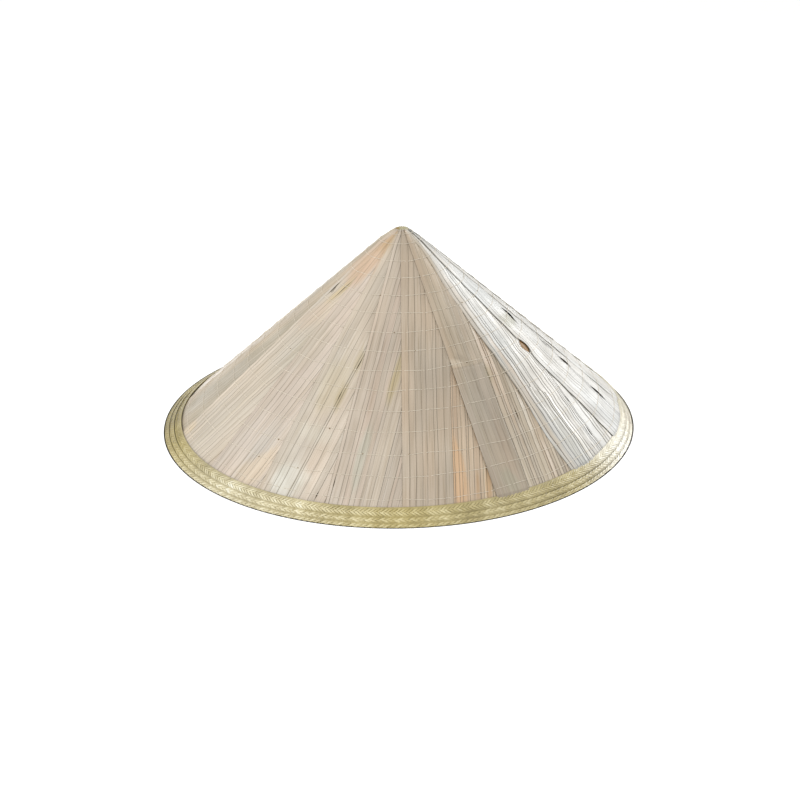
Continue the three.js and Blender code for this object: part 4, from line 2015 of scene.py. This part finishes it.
@dataclass(frozen=True)
class Studio:
    """A plain pale floor, a white surround, and soft lights: a low one behind right, a high one at left."""

    floor_size: float = 20.0
    floor_drop: float = 0.3 * MM
    floor_colour: str = "#f7f6f5"
    floor_roughness: float = 0.9
    surround_colour: str = "#ffffff"
    surround: float = 1.06
    key_power: float = 16.0
    fill_power: float = 17.0

    def build(self) -> None:
        """Makes the floor, the surround and the lights."""
        half = self.floor_size / 2
        corners = np.array([[-half, -half, 0], [half, -half, 0], [half, half, 0], [-half, half, 0]])
        floor = make_object("floor", corners - [0, 0, self.floor_drop], [[0, 1, 2, 3]])
        # Backdrop paper, uncoated: nearly white and matt, so it shows soft shadows and no highlight.
        paper = bpy.data.materials.new("backdrop_paper")
        paper.use_nodes = True
        shader = paper.node_tree.nodes["Principled BSDF"]
        shader.inputs["Base Color"].default_value = paint(self.floor_colour)
        shader.inputs["Roughness"].default_value = self.floor_roughness
        floor.data.materials.append(paper)
        world = bpy.data.worlds.new("white_surround")
        world.use_nodes = True
        background = world.node_tree.nodes["Background"]
        background.inputs["Color"].default_value = paint(self.surround_colour)
        background.inputs["Strength"].default_value = self.surround
        bpy.context.scene.world = world
        self._light("key", azimuth=130, elevation=24, away=1.6, size=1.0, power=self.key_power)
        self._light("fill", azimuth=-60, elevation=45, away=1.8, size=1.2, power=self.fill_power)

    @staticmethod
    def _light(name: str, azimuth: float, elevation: float, away: float, size: float, power: float) -> None:
        """Hangs a square soft light, aimed at the hat.

        Args:
            name: the light's name.
            azimuth: its direction from the hat, in degrees.
            elevation: its height over the floor, in degrees.
            away: its distance.
            size: the length of its side.
            power: its power in watts.
        """
        light = bpy.data.lights.new(name, "AREA")
        light.size, light.energy = size, power
        lamp = bpy.data.objects.new(name, light)
        bpy.context.scene.collection.objects.link(lamp)
        a, e = math.radians(azimuth), math.radians(elevation)
        back = Vector((math.sin(a) * math.cos(e), -math.cos(a) * math.cos(e), math.sin(e)))
        lamp.location = back * away
        lamp.rotation_euler = back.to_track_quat("Z", "Y").to_euler()


@dataclass(frozen=True)
class PhotoCamera:
    """The camera at the photograph's angle, as fitted to the rim, the tip and the sides."""

    distance: float = 1.26
    elevation: float = math.radians(24.42)
    roll: float = math.radians(-0.76)
    focal_pixels: float = 1396.2
    frame_pixels: int = 800
    origin_pixel: tuple[float, float] = (398.5, 415.2)

    def build(self) -> None:
        """Makes the camera and gives it to the scene."""
        data = bpy.data.cameras.new("camera")
        data.lens = self.focal_pixels / self.frame_pixels * data.sensor_width
        data.shift_x = (self.frame_pixels / 2 - self.origin_pixel[0]) / self.frame_pixels
        data.shift_y = (self.origin_pixel[1] - self.frame_pixels / 2) / self.frame_pixels
        data.clip_start, data.clip_end = 0.01, 50
        camera = bpy.data.objects.new("camera", data)
        bpy.context.scene.collection.objects.link(camera)
        back = Vector((0, -math.cos(self.elevation), math.sin(self.elevation)))
        camera.location = back * self.distance
        turn = back.to_track_quat("Z", "Y").to_matrix()
        camera.rotation_euler = (turn @ Matrix.Rotation(self.roll, 3, "Z")).to_euler()
        bpy.context.scene.camera = camera


def main() -> None:
    """Builds the hat piece by piece, then its surroundings."""
    logging.basicConfig(level=logging.INFO, format="%(name)s: %(message)s")
    form, rows = HatForm(), SewnRows()
    outer = OuterLeaves(form, rows)
    hoops = Hoops(form, rows)
    made: list[bpy.types.Object] = outer.build()
    made.append(InnerLeaves(form, rows).build())
    made += hoops.build()
    made += SewingThread(form, rows, outer, hoops).build()
    made += Border(form).build()
    made.append(Tip(form).build())
    total = 0
    for piece in made:
        piece.data.calc_loop_triangles()
        total += len(piece.data.loop_triangles)
        LOG.info("%s: %d triangles", piece.name, len(piece.data.loop_triangles))
    LOG.info("%d pieces, %d triangles", len(made), total)
    Studio().build()
    PhotoCamera().build()
    bpy.context.scene.view_settings.view_transform = "Standard"


if __name__ == "__main__":
    main()
